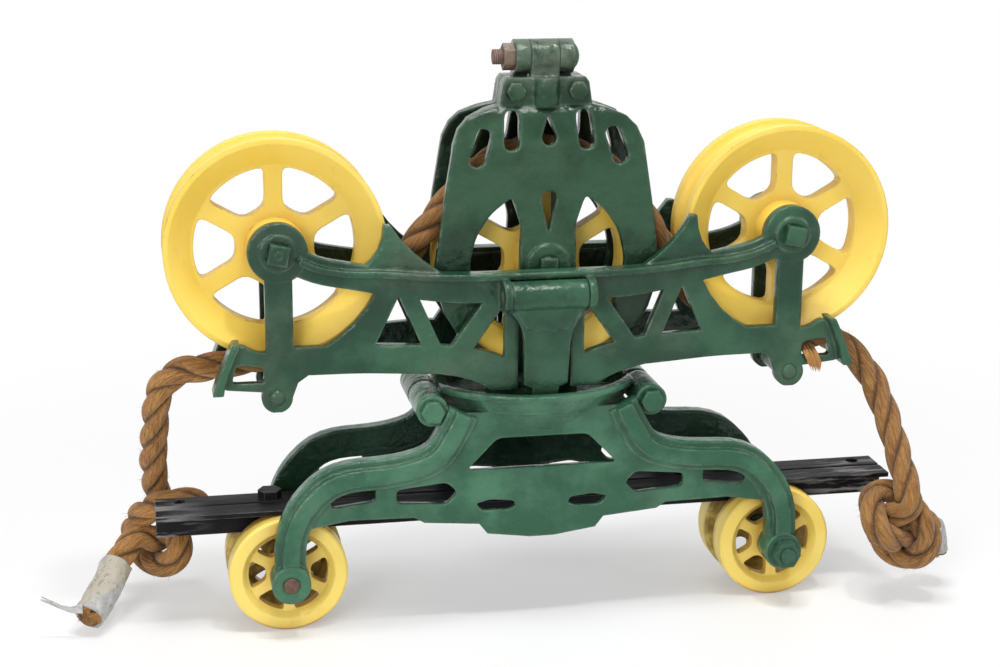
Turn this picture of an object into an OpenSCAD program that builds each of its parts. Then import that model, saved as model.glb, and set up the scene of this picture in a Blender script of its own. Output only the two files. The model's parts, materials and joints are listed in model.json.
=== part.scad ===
// Hay trolley standing upside down on its track wheels, with a length of track, the fall block and its rope.
// X runs along the track, Y away from the viewer and Z up. Lengths are in millimetres.

/* [Track wheels] */
// radius of a track wheel
wheel_r = 49; // [42:0.5:58]
// width of a track wheel
wheel_w = 23; // [18:0.5:28]
// radial thickness of a track wheel's rim
wheel_rim = 13; // [9:0.5:16]
// distance from the middle plane to a wheel's inner face
wheel_in = 10; // [8:0.5:14]
// distance of each wheel axle from the middle, along the track
wheel_x = 210; // [195:1:230]
// radius of a stub axle
stub_r = 6.5; // [5:0.25:8]

/* [Track] */
// length of the track piece
rail_len = 632; // [560:4:660]
// width of one angle's flange
rail_flange = 23; // [18:0.5:28]
// depth of one angle's web below its flange
rail_depth = 20; // [16:0.5:24]
// thickness of the angles
rail_t = 4; // [3:0.25:5]
// radius of the bolt holes near the track's ends
hanger_r = 5.5; // [4:0.25:6.5]

/* [Truck] */
// width of a truck arm
arm_w = 25; // [20:0.5:28]
// thickness of a truck arm without its beads
arm_t = 12; // [9:0.5:15]
// thickness of a truck frame's web
web_t = 6; // [4:0.5:8]
// radius of an axle boss
boss_r = 16; // [13:0.5:18]
// distance of each tie bolt from the middle
tie_x = 92; // [88:0.5:96]
// radius of a tie bolt
tie_r = 5.5; // [4:0.25:7]
// radius of the swivel hole in the truck
swivel_r = 34; // [30:0.5:36]

/* [Carriage] */
// distance of each side sheave from the middle
sheave_x = 213; // [205:1:222]
// radius of a sheave over its lips
sheave_r = 89; // [80:0.5:98]
// width of a sheave
sheave_w = 44; // [40:0.5:46]
// depth of the rope groove
groove_depth = 10; // [7:0.5:12]
// thickness of a carriage frame
frame_t = 8; // [6:0.5:10]
// radius of a sheave axle
axle_r = 8; // [6:0.25:10]
// radius of a latch pin
latch_pin_r = 4; // [3:0.25:5]
// length of a latch from its pin to its tip
latch_len = 91; // [80:0.5:104]

/* [Fall block] */
// thickness of a fall block cheek
cheek_t = 7; // [5:0.5:8]
// half width of a cheek at its axle
cheek_r = 93; // [90:0.5:95]
// how far to the right the block hangs in its seat
fall_x = 6; // [0:0.5:8]
// radius of the knuckle at the top
knuckle_r = 14; // [12:0.5:16]
// radius of the knuckle bolt
knuckle_bolt_r = 6; // [5:0.25:7]
// radius of a head bolt
head_bolt_r = 5; // [4:0.25:6]

/* [Rope] */
// diameter of the rope
rope_d = 23.5; // [18:0.25:23.5]
// thickness of the tape round the rope's ends
tape_t = 1; // [0.5:0.25:2]

/* [Fits] */
// radial clearance of pins, shafts and bolts
fit = 0.05; // [0.02:0.01:0.1]
// space between pieces that rest on one another
seat = 0.1; // [0.05:0.05:0.3]
// side space beside turning pieces
side = 0.5; // [0.4:0.1:0.8]

/* [Hidden] */
green = [0.16, 0.38, 0.29];
yellow = [0.95, 0.78, 0.30];
black = [0.10, 0.10, 0.11];
rust = [0.42, 0.30, 0.25];
manila = [0.62, 0.42, 0.22];
tape_grey = [0.62, 0.62, 0.60];
$fn = 48;

// truck levels, all from the wheel axles upwards
axle_z = wheel_r;
track_z = 2 * wheel_r + 2 * seat;
deck_t = 6;
deck_z = axle_z + 135;
deck_top = deck_z + deck_t;
tie_z = axle_z + 139;
apron_low = axle_z + 117;
apron_top = axle_z + 152;
// truck planes, from the middle outwards
boss_in = wheel_in + wheel_w + side;
boss_len = 23;
boss_out = boss_in + boss_len;
arm_in = boss_in + 4;
web_in = arm_in + 2;
lug_r = 13;
lug_out = 46;
spacer_t = 4;
// the apron bows out in front of its tie bolts, as an arc struck from behind the middle
bow_back = 33;
apron_r_low = web_in + web_t + bow_back;
apron_r_top = apron_r_low + 21;
apron_t = 8;
// stub axle fasteners
stub_head_r = 10;
stub_head_t = 4;
stub_end = 1;
washer_t = 2;
nut_t = 9;
stub_nut_r = 12;
// carriage levels, all from the truck's deck upwards
hub_t = 14;
yoke_t = 6;
seat_z = deck_top + seat + hub_t + yoke_t;
bar_low = deck_top + 29;
bar_h = 24;
guide_pin_z = deck_top + 12;
sheave_z = deck_top + 131;
// the latch's pin lies a latch's length above the deck, and the upper bar with it
latch_gap = 4;
latch_z = deck_top + latch_gap + latch_len;
upper_z = latch_z + 3;
upper_h = 21;
// carriage planes, from the middle outwards
frame_in = sheave_w / 2 + 3;
frame_out = frame_in + frame_t;
cheek_in = sheave_w / 2 + 2;
cheek_out = cheek_in + cheek_t;
bow_in = cheek_out + 9;
bow_out = bow_in + frame_t;
post_w = 22;
sheave_boss_r = 24;
sheave_boss_t = 2;
guide_boss_r = 12.5;
guide_pin_r = 6;
guide_x = sheave_x + 3;
// latch
latch_r = 12;
latch_half = 31;
latch_t = 7;
latch_tilt = 7;
latch_y = bow_out + latch_r + side;
ear_t = 6;
// fall block levels
fall_z = seat_z + seat + sheave_r + 3;
head_low = fall_z + 128;
head_top = fall_z + 151;
knuckle_z = head_top + 1 + knuckle_r;
head_y = 17;
head_half = 36;
head_bolt_x = 25.5;
head_bolt_z = (head_low + head_top) / 2 + 1;
knuckle_mid = 11.5;
knuckle_out = 24;
hub_boss_r = 18;
hub_boss_out = cheek_out + 3;
// sheave groove, whose arc the rope lies in
groove_r = 13;
run_r = sheave_r - groove_depth + groove_r;
// rope ends, chosen by hand; the left one passes behind the track and the right one in front
rope_r = rope_d / 2;
rope_sides = 10;
knot_small = 11;
knot_large = 26;
knot_deep = 18;
knot_open = 42;
knot_turn = 125;
knot_step = 23;
left_knot = [-314, 58, 68];
right_knot = [316, -60, 71];
right_knot_size = 0.88;
left_hang = [[-285, 5, 219], [-298, 10, 212], [-307, 16, 201], [-311, 22, 186], [-313, 34, 162],
    [-315, 48, 136], [-315, 62, 112]];
right_hang = [[273, -1, 217], [284, -4, 207], [294, -8, 195], [301, -14, 182], [307, -23, 164],
    [311, -36, 144], [313, -52, 124], [314, -64, 108]];
left_tail = [[-347, 32, 48], [-354, 20, 38]];
left_tape = [[-362, 6, 27], [-374, -14, 16]];
right_tail = [[344, -41, 61], [350, -39, 54], [353.5, -38, 46]];
right_tape = [[355.5, -39, 30]];
// the tape's wrapping starts square to the rope's end, a little past it
tape_gap = 0.5;
tape_first = 6;

// plain helpers
function unit(v) = v / norm(v);
function polar(r, a) = [r * cos(a), r * sin(a)];
// curve from a to c that leaves and arrives in the direction of b
function bend(a, b, c, n) =
    [for (i = [0:n]) let (t = i / n) (1 - t) * (1 - t) * a + 2 * t * (1 - t) * b + t * t * c];
function toward(a, b, d) = a + unit(b - a) * min(d, norm(b - a) * 0.45);
// closed outline with every corner rounded off
function soft(p, r, n = 3) = let (m = len(p)) [for (i = [0:m - 1])
    each bend(toward(p[i], p[(i + m - 1) % m], r), p[i], toward(p[i], p[(i + 1) % m], r), n)];
// open line with every inner corner rounded off
function soft_line(p, r, n = 4) = let (m = len(p)) concat([p[0]], [for (i = [1:m - 2])
    each bend(toward(p[i], p[i - 1], r), p[i], toward(p[i], p[i + 1], r), n)], [p[m - 1]]);
function along(p, i) = unit(p[min(i + 1, len(p) - 1)] - p[max(i - 1, 0)]);
function aside(p, d) = [for (i = [0:len(p) - 1]) let (t = along(p, i)) p[i] + d * [-t[1], t[0]]];
function backwards(p) = [for (i = [len(p) - 1:-1:0]) p[i]];
// outline of a strip that follows a line, between two distances from it
function strip(p, d0, d1) = concat(aside(p, d0), backwards(aside(p, d1)));
// outline of one opening between two spokes
function spoke_window(r0, r1, count, spoke_w, corner) =
    let (a0 = 180 / count - asin(spoke_w / 2 / r0), a1 = 180 / count - asin(spoke_w / 2 / r1))
    soft(concat([polar(r0, -a0), polar(r0, a0)], [for (k = [2:-1:-2]) polar(r1, a1 * k / 2)]), corner);

// a flat outline drawn in X and Z, made solid between two distances from the middle plane
module face(near, far) {
    translate([0, -near, 0]) rotate([90, 0, 0]) linear_extrude(far - near) children();
}
// a round bar across the object, along Y
module across(x, y0, y1, z, r) {
    translate([x, y0, z]) rotate([-90, 0, 0]) cylinder(h = y1 - y0, r = r);
}
module hex_across(x, y0, y1, z, r) {
    translate([x, y0, z]) rotate([-90, 0, 0]) cylinder(h = y1 - y0, r = r, $fn = 6);
}
// a round bar along X
module lengthwise(x0, x1, y, z, r) {
    translate([x0, y, z]) rotate([0, 90, 0]) cylinder(h = x1 - x0, r = r);
}
module both_sides() {
    children();
    mirror([1, 0]) children();
}
module to_rear() {
    mirror([0, 1, 0]) children();
}
// a low domed head, turned about Z
module turned_dome(r, h) {
    ball = (r * r + h * h) / (2 * h);
    lean = asin(r / ball);
    rotate_extrude() polygon(concat([[0, 0]], [for (k = [5:-1:0]) let (a = lean * k / 5)
        [ball * sin(a), ball * cos(a) - ball + h]]));
}
// the same head on the front end of a pin
module dome(x, y, z, r, h) {
    translate([x, y, z]) rotate([90, 0, 0]) turned_dome(r, h);
}

// track wheels
wheel_hub_r = 13;
wheel_edge = 2;
module track_wheel_shape() {
    rim_in = wheel_r - wheel_rim;
    web_0 = wheel_w * 0.35;
    web_1 = wheel_w * 0.75;
    difference() {
        rotate([-90, 0, 0]) rotate_extrude() polygon([[0, 0], [wheel_hub_r, 0], [wheel_hub_r + 1, web_0],
            [rim_in - 2, web_0], [rim_in + 2, 0], [wheel_r - wheel_edge, 0], [wheel_r, wheel_edge],
            [wheel_r, wheel_w - wheel_edge], [wheel_r - wheel_edge, wheel_w], [rim_in + 2, wheel_w],
            [rim_in - 2, web_1], [wheel_hub_r + 1, web_1], [wheel_hub_r, wheel_w], [0, wheel_w]]);
        for (k = [0:5]) rotate([0, 60 * k, 0]) face(-wheel_w - 1, 1)
            polygon(spoke_window(wheel_hub_r + 6, rim_in - 3, 6, 9, 4));
        across(0, -1, wheel_w + 1, 0, stub_r + fit);
    }
}
module track_wheel(x) {
    color(yellow) translate([x, wheel_in, axle_z]) track_wheel_shape();
}
module track_wheel_front_left() { to_rear() track_wheel(-wheel_x); }
module track_wheel_front_right() { to_rear() track_wheel(wheel_x); }
module track_wheel_rear_left() { track_wheel(-wheel_x); }
module track_wheel_rear_right() { track_wheel(wheel_x); }

// truck frames
arm_line = soft_line([[-wheel_x, axle_z], [-wheel_x + 0.5, axle_z + 38], [-wheel_x + 12, axle_z + 64],
    [-wheel_x + 37, axle_z + 87], [-tie_x - 28, axle_z + 89], [-tie_x + 4, axle_z + 98],
    [-tie_x + 19, axle_z + 124], [-tie_x + 25, axle_z + 137]], 22);
module truck_web_outline() {
    difference() {
        both_sides() polygon([[0.5, axle_z + 25], [-10, axle_z + 25], [-46, axle_z + 30], [-53, axle_z + 39],
            [-tie_x - 7, axle_z + 43], [-tie_x - 15, axle_z + 48], [-wheel_x + 49, axle_z + 49],
            [-wheel_x + 18, axle_z + 44], [-wheel_x + 12, axle_z + 64], [-wheel_x + 37, axle_z + 87],
            [-tie_x - 28, axle_z + 89], [-tie_x + 4, axle_z + 98], [-tie_x + 18, deck_z + 1],
            [0.5, deck_z + 1]]);
        // the broad opening over the plate, and the small ones in the bar beside it
        polygon(soft([[-64, axle_z + 86], [-38, axle_z + 113], [38, axle_z + 113], [64, axle_z + 86]], 5));
        both_sides() {
            polygon(soft([[-wheel_x + 33, axle_z + 68], [-wheel_x + 43, axle_z + 75], [-139, axle_z + 76],
                [-139, axle_z + 64], [-wheel_x + 35, axle_z + 60]], 3));
            polygon(soft([[-122, axle_z + 73], [-80, axle_z + 77], [-71, axle_z + 68], [-80, axle_z + 58],
                [-122, axle_z + 61]], 4));
            polygon(soft([[-56, axle_z + 57], [-44, axle_z + 60], [-24, axle_z + 58], [-22, axle_z + 53],
                [-28, axle_z + 50], [-50, axle_z + 50]], 3));
        }
    }
}
// arms with a raised bead along their middle
module truck_arms() {
    bead_h = 6;
    face(arm_in, arm_in + arm_t) both_sides() polygon(strip(arm_line, -arm_w / 2, arm_w / 2));
    face(arm_in + arm_t - 1, arm_in + arm_t + bead_h) both_sides()
        polygon(strip(arm_line, -arm_w * 0.27, arm_w * 0.27));
}
// the apron's outer radius at a height; it flares upwards
function apron_r(z) = apron_r_low + (apron_r_top - apron_r_low) * (z - apron_low) / (apron_top - apron_low);
module apron_cone(z0, z1, grow) {
    translate([0, bow_back, z0])
        cylinder(h = z1 - z0, r1 = apron_r(z0) + grow, r2 = apron_r(z1) + grow, $fn = 96);
}
module truck_frame() {
    half_gap = 0.25;
    apron_half = tie_x - lug_r + 2;
    difference() {
        union() {
            face(web_in, web_in + web_t) truck_web_outline();
            truck_arms();
            for (x = [-wheel_x, wheel_x]) across(x, -boss_out, -boss_in, axle_z, boss_r);
            for (x = [-tie_x, tie_x]) across(x, -lug_out, -spacer_t / 2, tie_z, lug_r);
            // the bowed apron with its rim, and the deck that the carriage turns on
            intersection() {
                union() {
                    difference() {
                        apron_cone(apron_low, apron_top, 0);
                        apron_cone(apron_low - 5, apron_top + 5, -apron_t);
                    }
                    translate([0, bow_back, apron_top - 4]) difference() {
                        cylinder(h = 5, r = apron_r_top + 2, $fn = 96);
                        translate([0, 0, -1]) cylinder(h = 7, r = apron_r_top - apron_t + 2, $fn = 96);
                    }
                    translate([0, bow_back, deck_z])
                        cylinder(h = deck_t, r = apron_r_top - apron_t - 1, $fn = 96);
                }
                translate([-apron_half, -2 * apron_r_top, 0])
                    cube([2 * apron_half, 2 * apron_r_top - half_gap, 2 * apron_top]);
            }
        }
        translate([0, 0, deck_z - 1]) cylinder(h = deck_t + 2, r = swivel_r);
        for (x = [-wheel_x, wheel_x]) across(x, -boss_out - 1, -boss_in + 1, axle_z, stub_r + fit);
        for (x = [-tie_x, tie_x]) across(x, -lug_out - 1, 1, tie_z, tie_r + fit);
    }
}
module truck_frame_front() { color(green) truck_frame(); }
module truck_frame_rear() { color(green) to_rear() truck_frame(); }
module tie_bolts() {
    color(green) for (x = [-tie_x, tie_x]) {
        across(x, -lug_out, lug_out + nut_t + 3, tie_z, tie_r);
        hex_across(x, -lug_out - 6, -lug_out, tie_z, 10);
    }
}
module tie_nuts() {
    color(green) for (x = [-tie_x, tie_x]) difference() {
        hex_across(x, lug_out, lug_out + nut_t, tie_z, 11);
        across(x, lug_out - 1, lug_out + nut_t + 1, tie_z, tie_r + fit);
    }
}
module tie_spacers() {
    color(rust) for (x = [-tie_x, tie_x]) difference() {
        across(x, -spacer_t / 2, spacer_t / 2, tie_z, lug_r - 3);
        across(x, -spacer_t, spacer_t, tie_z, tie_r + fit);
    }
}
// stub axles: riveted ends on the left, nuts on the right
module stub_axle(x, reach) {
    across(x, -wheel_in + side, -wheel_in + side + stub_head_t, axle_z, stub_head_r);
    across(x, -reach, -wheel_in + side, axle_z, stub_r);
}
module stub_pair() {
    stub_axle(-wheel_x, boss_out + stub_end);
    stub_axle(wheel_x, boss_out + washer_t + nut_t + 3);
}
module stub_axles() {
    color(rust) {
        stub_pair();
        to_rear() stub_pair();
    }
}
module stub_nut() {
    difference() {
        hex_across(wheel_x, -boss_out - washer_t - nut_t, -boss_out - washer_t, axle_z, stub_nut_r);
        across(wheel_x, -boss_out - washer_t - nut_t - 1, -boss_out, axle_z, stub_r + fit);
    }
}
module stub_nuts() {
    color(green) {
        stub_nut();
        to_rear() stub_nut();
    }
}
module stub_washer() {
    difference() {
        across(wheel_x, -boss_out - washer_t, -boss_out, axle_z, boss_r - 2);
        across(wheel_x, -boss_out - washer_t - 1, -boss_out + 1, axle_z, stub_r + fit);
    }
}
module stub_washers() {
    color(rust) {
        stub_washer();
        to_rear() stub_washer();
    }
}

// track: two angles back to back, riveted through their webs, with bolt holes near the ends
rivet_r = 3;
rivet_x = [-0.25 * rail_len, 0, 0.25 * rail_len];
rivet_z = track_z - rail_depth / 2;
rail_top = track_z + rail_t;
rail_bevel = 2;
hanger_inset = 20;
hanger_y = rail_flange - 9.5;
stud_x = [-221, 142];
stud_nut_r = 10;
stud_h = 7;
stud_r = 5;
module rail_angle() {
    difference() {
        translate([-rail_len / 2, 0, 0]) rotate([90, 0, 90]) linear_extrude(rail_len)
            polygon([[-rail_flange, track_z], [-rail_flange, rail_top], [-rail_bevel, rail_top],
                [0, rail_top - rail_bevel], [0, track_z - rail_depth], [-rail_t, track_z - rail_depth],
                [-rail_t, track_z]]);
        for (x = rivet_x) across(x, -rail_t - 1, 1, rivet_z, rivet_r + fit);
    }
}
module flange_hole(x, y, r) {
    translate([x, y, track_z - 1]) cylinder(h = rail_t + 2, r = r);
}
module rail_angle_front() { color(black) rail_angle(); }
module rail_angle_rear() {
    color(black) difference() {
        to_rear() rail_angle();
        for (x = stud_x) flange_hole(x, rail_flange / 2, stud_r + fit);
        for (s = [-1, 1]) flange_hole(s * (rail_len / 2 - hanger_inset), hanger_y, hanger_r);
    }
}
module rail_rivets() {
    color(black) for (x = rivet_x) {
        across(x, -rail_t, rail_t, rivet_z, rivet_r);
        dome(x, -rail_t, rivet_z, rivet_r + 2.5, 2.5);
        to_rear() dome(x, -rail_t, rivet_z, rivet_r + 2.5, 2.5);
    }
}
module rail_studs() {
    color(black) for (x = stud_x) translate([x, rail_flange / 2, track_z]) {
        cylinder(h = rail_t + 1, r = stud_r);
        translate([0, 0, rail_t]) cylinder(h = stud_h, r = stud_nut_r, $fn = 6);
    }
}

// sheaves, all three alike
sheave_lip = 4;
sheave_web = 7;
sheave_rim_in = 67;
sheave_hub_r = 24;
module sheave_shape() {
    half = sheave_w / 2;
    hub = half + 2 - side;
    difference() {
        union() {
            across(0, -half, half, 0, sheave_r);
            across(0, -hub, hub, 0, sheave_hub_r);
        }
        rotate([90, 0, 0]) rotate_extrude($fn = 96) translate([run_r, 0]) circle(r = groove_r);
        // both faces are dished between the hub and the lip
        for (t = [0, 180]) rotate([t, 0, 0]) rotate([-90, 0, 0]) rotate_extrude($fn = 96)
            polygon([[sheave_hub_r, sheave_web], [sheave_rim_in, sheave_web], [sheave_r - sheave_lip, half],
                [sheave_r - sheave_lip, half + 3], [sheave_hub_r - 3, half + 3], [sheave_hub_r - 3, hub]]);
        for (k = [0:5]) rotate([0, 60 * k, 0]) face(-half, half)
            polygon(spoke_window(sheave_hub_r + 9, sheave_rim_in - 2, 6, 14, 7));
        across(0, -hub - 1, hub + 1, 0, axle_r + fit);
    }
}
module sheave_left() { color(yellow) translate([-sheave_x, 0, sheave_z]) sheave_shape(); }
module sheave_right() { color(yellow) translate([sheave_x, 0, sheave_z]) sheave_shape(); }
module fall_sheave() { color(yellow) translate([fall_x, 0, fall_z]) sheave_shape(); }

// carriage frames: a truss drawn from the front, cut out of a sheet that bows round the fall block
bow_x = cheek_r + fall_x + 4;
frame_end = sheave_x + 62;
plan_line = soft_line([[-frame_end, -frame_in], [-bow_x - 44, -frame_in], [-bow_x, -cheek_out - 3],
    [-66, -bow_in], [66, -bow_in], [bow_x, -cheek_out - 3], [bow_x + 44, -frame_in],
    [frame_end, -frame_in]], 18);
upper_line = soft_line([[-sheave_x, sheave_z], [-sheave_x + 30, sheave_z - 16], [-118, upper_z + 5],
    [-70, upper_z], [1, upper_z]], 14);
// rib that runs from the sheave boss into the flange over the upper bar
rib_t = 5;
rib_out = 8;
rib_z = latch_z + latch_r + side + rib_t / 2;
rib_line = soft_line([[-sheave_x + 16, sheave_z - 6], [-sheave_x + 32, sheave_z - 14], [-155, rib_z + 2.5],
    [-129, rib_z + 3], [-98, rib_z + 0.5], [-60, rib_z], [1, rib_z]], 12);
module brace(a, b, w) {
    polygon(strip([a, b], -w / 2, w / 2));
}
module carriage_outline() {
    bar_top = bar_low + bar_h;
    both_sides() difference() {
        union() {
            translate([-sheave_x, sheave_z]) circle(r = sheave_boss_r);
            translate([-guide_x, guide_pin_z]) circle(r = guide_boss_r);
            polygon([[-sheave_x - post_w / 2, sheave_z], [-sheave_x + post_w / 2, sheave_z],
                [-sheave_x + post_w / 2, bar_low + 8], [-sheave_x + 24, bar_low + 2],
                [-sheave_x + 14, bar_low - 5],
                [-guide_x + guide_boss_r, guide_pin_z], [-guide_x - guide_boss_r, guide_pin_z],
                [-sheave_x - post_w / 2, bar_low]]);
            // bare bar, which turns down to the yoke in the middle
            polygon(concat([[-sheave_x, bar_low + 1]],
                bend([-86, bar_low], [-58, bar_low - 3], [-44, seat_z - yoke_t], 4),
                [[-22, seat_z - yoke_t], [-22, bar_low + 9]],
                bend([-30, bar_low + 11], [-42, bar_low + 17], [-60, bar_top - 3], 3),
                [[-84, bar_top], [-sheave_x, bar_top]]));
            polygon(strip(upper_line, -upper_h / 2, upper_h / 2));
            polygon(concat(bend([-178, bar_top - 1], [-150, bar_top + 14], [-135, upper_z], 4),
                [[-116, upper_z], [-137, bar_top - 1]]));
            brace([-112, upper_z], [-89, bar_low + 16], 14);
            brace([-73, bar_low + 14], [-36, upper_z - 2], 16);
            // post beside the latch
            polygon([[-33, bar_low], [-22, bar_low], [-22, upper_z], [-33, upper_z]]);
            // horn that leads the fall block to its seat
            polygon(concat(bend([-154, upper_z + 16], [-131, upper_z + 22], [-129, upper_z + 53], 5),
                bend([-124, upper_z + 53], [-104, upper_z + 22], [-70, upper_z + 8], 5)));
            // side of the rope guide
            polygon(soft([[-sheave_x, bar_top - 1], [-sheave_x - 17, bar_top - 4],
                [-sheave_x - 33, bar_top + 6], [-sheave_x - 49, bar_low - 8], [-sheave_x, bar_low - 13]], 7));
        }
        polygon(soft([[-sheave_x - 35, bar_low + 12], [-sheave_x - 13, bar_low + 9],
            [-sheave_x - 13, bar_low - 4], [-sheave_x - 39, bar_low - 4]], 4));
    }
}
module guide_lip() {
    top = bar_low + bar_h + 7;
    bottom = bar_low - 10;
    face(frame_in, frame_out + 12)
        polygon(soft(concat(
            bend([-sheave_x - 32, top], [-sheave_x - 45, bar_low + 5], [-sheave_x - 46, bottom], 4),
            bend([-sheave_x - 55, bottom], [-sheave_x - 49, bar_low + 8], [-sheave_x - 38, top], 4)), 1.5));
}
module carriage_frame() {
    difference() {
        union() {
            intersection() {
                face(frame_in - 1, bow_out + 1) carriage_outline();
                translate([0, 0, deck_top]) linear_extrude(sheave_z + 60 - deck_top)
                    polygon(strip(plan_line, -frame_t, 0));
            }
            intersection() {
                face(frame_in, bow_out + rib_out + 1) both_sides()
                    polygon(strip(rib_line, -rib_t / 2, rib_t / 2));
                translate([0, 0, upper_z]) linear_extrude(sheave_z - upper_z + 5)
                    polygon(strip(plan_line, -frame_t - rib_out, -2));
            }
            for (x = [-sheave_x, sheave_x]) {
                across(x, -frame_out - 1, -frame_in, sheave_z, sheave_boss_r);
                across(x, -frame_out - 1 - sheave_boss_t, -frame_in, sheave_z, sheave_boss_r - 9);
            }
            guide_lip();
            mirror([1, 0, 0]) guide_lip();
            // ears that hold the latch pin
            for (x = [-latch_half - side - ear_t, latch_half + side]) {
                lengthwise(x, x + ear_t, -latch_y, latch_z, latch_r + 1);
                translate([x, -latch_y, latch_z - latch_r - 1])
                    cube([ear_t, latch_y - bow_in - 2, 2 * latch_r + 2]);
            }
        }
        for (x = [-sheave_x, sheave_x]) across(x, -bow_out, -frame_in + 1, sheave_z, axle_r + fit);
        for (x = [-guide_x, guide_x]) across(x, -bow_out, -frame_in + 1, guide_pin_z, guide_pin_r + fit);
        lengthwise(-latch_half - 20, latch_half + 20, -latch_y, latch_z, latch_pin_r + fit);
        yoke_rivet_holes();
    }
}
module carriage_frame_front() { color(green) carriage_frame(); }
module carriage_frame_rear() { color(green) to_rear() carriage_frame(); }
// yoke: the turning neck below the deck, and two cheeks that carry the frames
yoke_half = 46;
yoke_in = cheek_out + 1.5;
yoke_rivet_x = 35;
yoke_rivet_r = 4;
yoke_rivet_z = bar_low - 1;
rivet_skin = 3;
neck_flange_r = swivel_r + 4.5;
neck_flange_t = 8;
module yoke_rivet_holes() {
    for (x = [-yoke_rivet_x, yoke_rivet_x])
        across(x, -bow_out + rivet_skin, -yoke_in + 1, yoke_rivet_z, yoke_rivet_r + fit);
}
module swivel_yoke() {
    color(green) difference() {
        union() {
            translate([0, 0, deck_z - seat - neck_flange_t]) cylinder(h = neck_flange_t, r = neck_flange_r);
            translate([0, 0, deck_z - seat - 1]) cylinder(h = deck_t + 3, r = swivel_r - fit);
            translate([0, 0, deck_top + seat]) cylinder(h = hub_t + 1, r = swivel_r + 5);
            translate([-yoke_half, -bow_in + seat, seat_z - yoke_t])
                cube([2 * yoke_half, 2 * (bow_in - seat), yoke_t]);
            for (s = [0, 1]) mirror([0, s, 0]) face(yoke_in, bow_in - seat) both_sides()
                polygon([[0.5, seat_z - 1], [-yoke_half, seat_z - 1], [-yoke_half, bar_low + 12],
                    [-28, bar_low + 8], [-22, bar_low - 5], [0.5, bar_low - 5]]);
        }
        yoke_rivet_holes();
        mirror([0, 1, 0]) yoke_rivet_holes();
    }
}
module yoke_rivets() {
    color(green) for (s = [0, 1]) mirror([0, s, 0]) for (x = [-yoke_rivet_x, yoke_rivet_x]) {
        across(x, -bow_out + rivet_skin, -yoke_in, yoke_rivet_z, yoke_rivet_r);
    }
}
module sheave_axles() {
    boss_face = frame_out + 1 + sheave_boss_t;
    head = 8;
    head_turn = 12;
    color(green) for (x = [-sheave_x, sheave_x]) {
        across(x, -boss_face, boss_face + nut_t + 3, sheave_z, axle_r);
        translate([x, -boss_face, sheave_z]) rotate([0, head_turn, 0]) translate([-head, -8, -head])
            cube([2 * head, 8, 2 * head]);
    }
}
module sheave_nuts() {
    boss_face = frame_out + 1 + sheave_boss_t;
    color(green) for (x = [-sheave_x, sheave_x]) difference() {
        hex_across(x, boss_face, boss_face + nut_t, sheave_z, 14);
        across(x, boss_face - 1, boss_face + nut_t + 1, sheave_z, axle_r + fit);
    }
}
module guide_pins() {
    color(green) for (x = [-guide_x, guide_x]) {
        across(x, -frame_out, frame_out, guide_pin_z, guide_pin_r);
        across(x, -frame_in + seat, frame_in - seat, guide_pin_z, guide_pin_r + 2);
        dome(x, -frame_out, guide_pin_z, 7, 3);
        to_rear() dome(x, -frame_out, guide_pin_z, 7, 3);
    }
}
module latch_pins() {
    reach = latch_half + side + ear_t;
    color(rust) for (s = [-1, 1]) lengthwise(-reach, reach, s * latch_y, latch_z, latch_pin_r);
}
// latches: a broad barrel on the pin that narrows to a tongue reaching into the truck
module latch() {
    translate([0, -latch_y, latch_z]) difference() {
        union() {
            lengthwise(-latch_half, latch_half, 0, 0, latch_r);
            rotate([latch_tilt, 0, 0]) face(-latch_t / 2, latch_t / 2) both_sides()
                polygon(concat([[0.5, -5], [-latch_half + 1, -5]],
                    bend([-latch_half + 1, -14], [-20, -24], [-19, -40], 3),
                    [[-18, -latch_len + 15], [-11, -latch_len + 12], [-10, -latch_len], [0.5, -latch_len]]));
            rotate([latch_tilt, 0, 0]) face(0, latch_t / 2 + 2) both_sides()
                polygon([[0.5, -6], [-latch_half + 3, -6], [-latch_half + 3, -12], [-17, -27], [0.5, -30]]);
        }
        lengthwise(-latch_half - 1, latch_half + 1, 0, 0, latch_pin_r + fit);
    }
}
module latch_front() { color(green) latch(); }
module latch_rear() { color(green) to_rear() latch(); }

// fall block cheeks: an arch drawn from the front, cut out of a sheet that closes in to the head
cheek_low = seat_z + seat;
// a slot with rounded ends
module slot(x, z, tilt, length, r) {
    translate([x, z]) rotate(tilt)
        polygon(soft([[-r, -length / 2], [r, -length / 2], [r, length / 2], [-r, length / 2]], r));
}
// a drop on the middle line, round at one end and pointed at the other
module drop(round_z, tip_z, r) {
    lean = acos(r / abs(tip_z - round_z));
    s = sign(tip_z - round_z);
    polygon(concat([[0, tip_z]], [for (k = [0:8]) let (a = lean + k * (360 - 2 * lean) / 8)
        [r * sin(a), round_z + s * r * cos(a)]]));
}
ring_in = 65;
window_low = cheek_r - 7;
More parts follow.
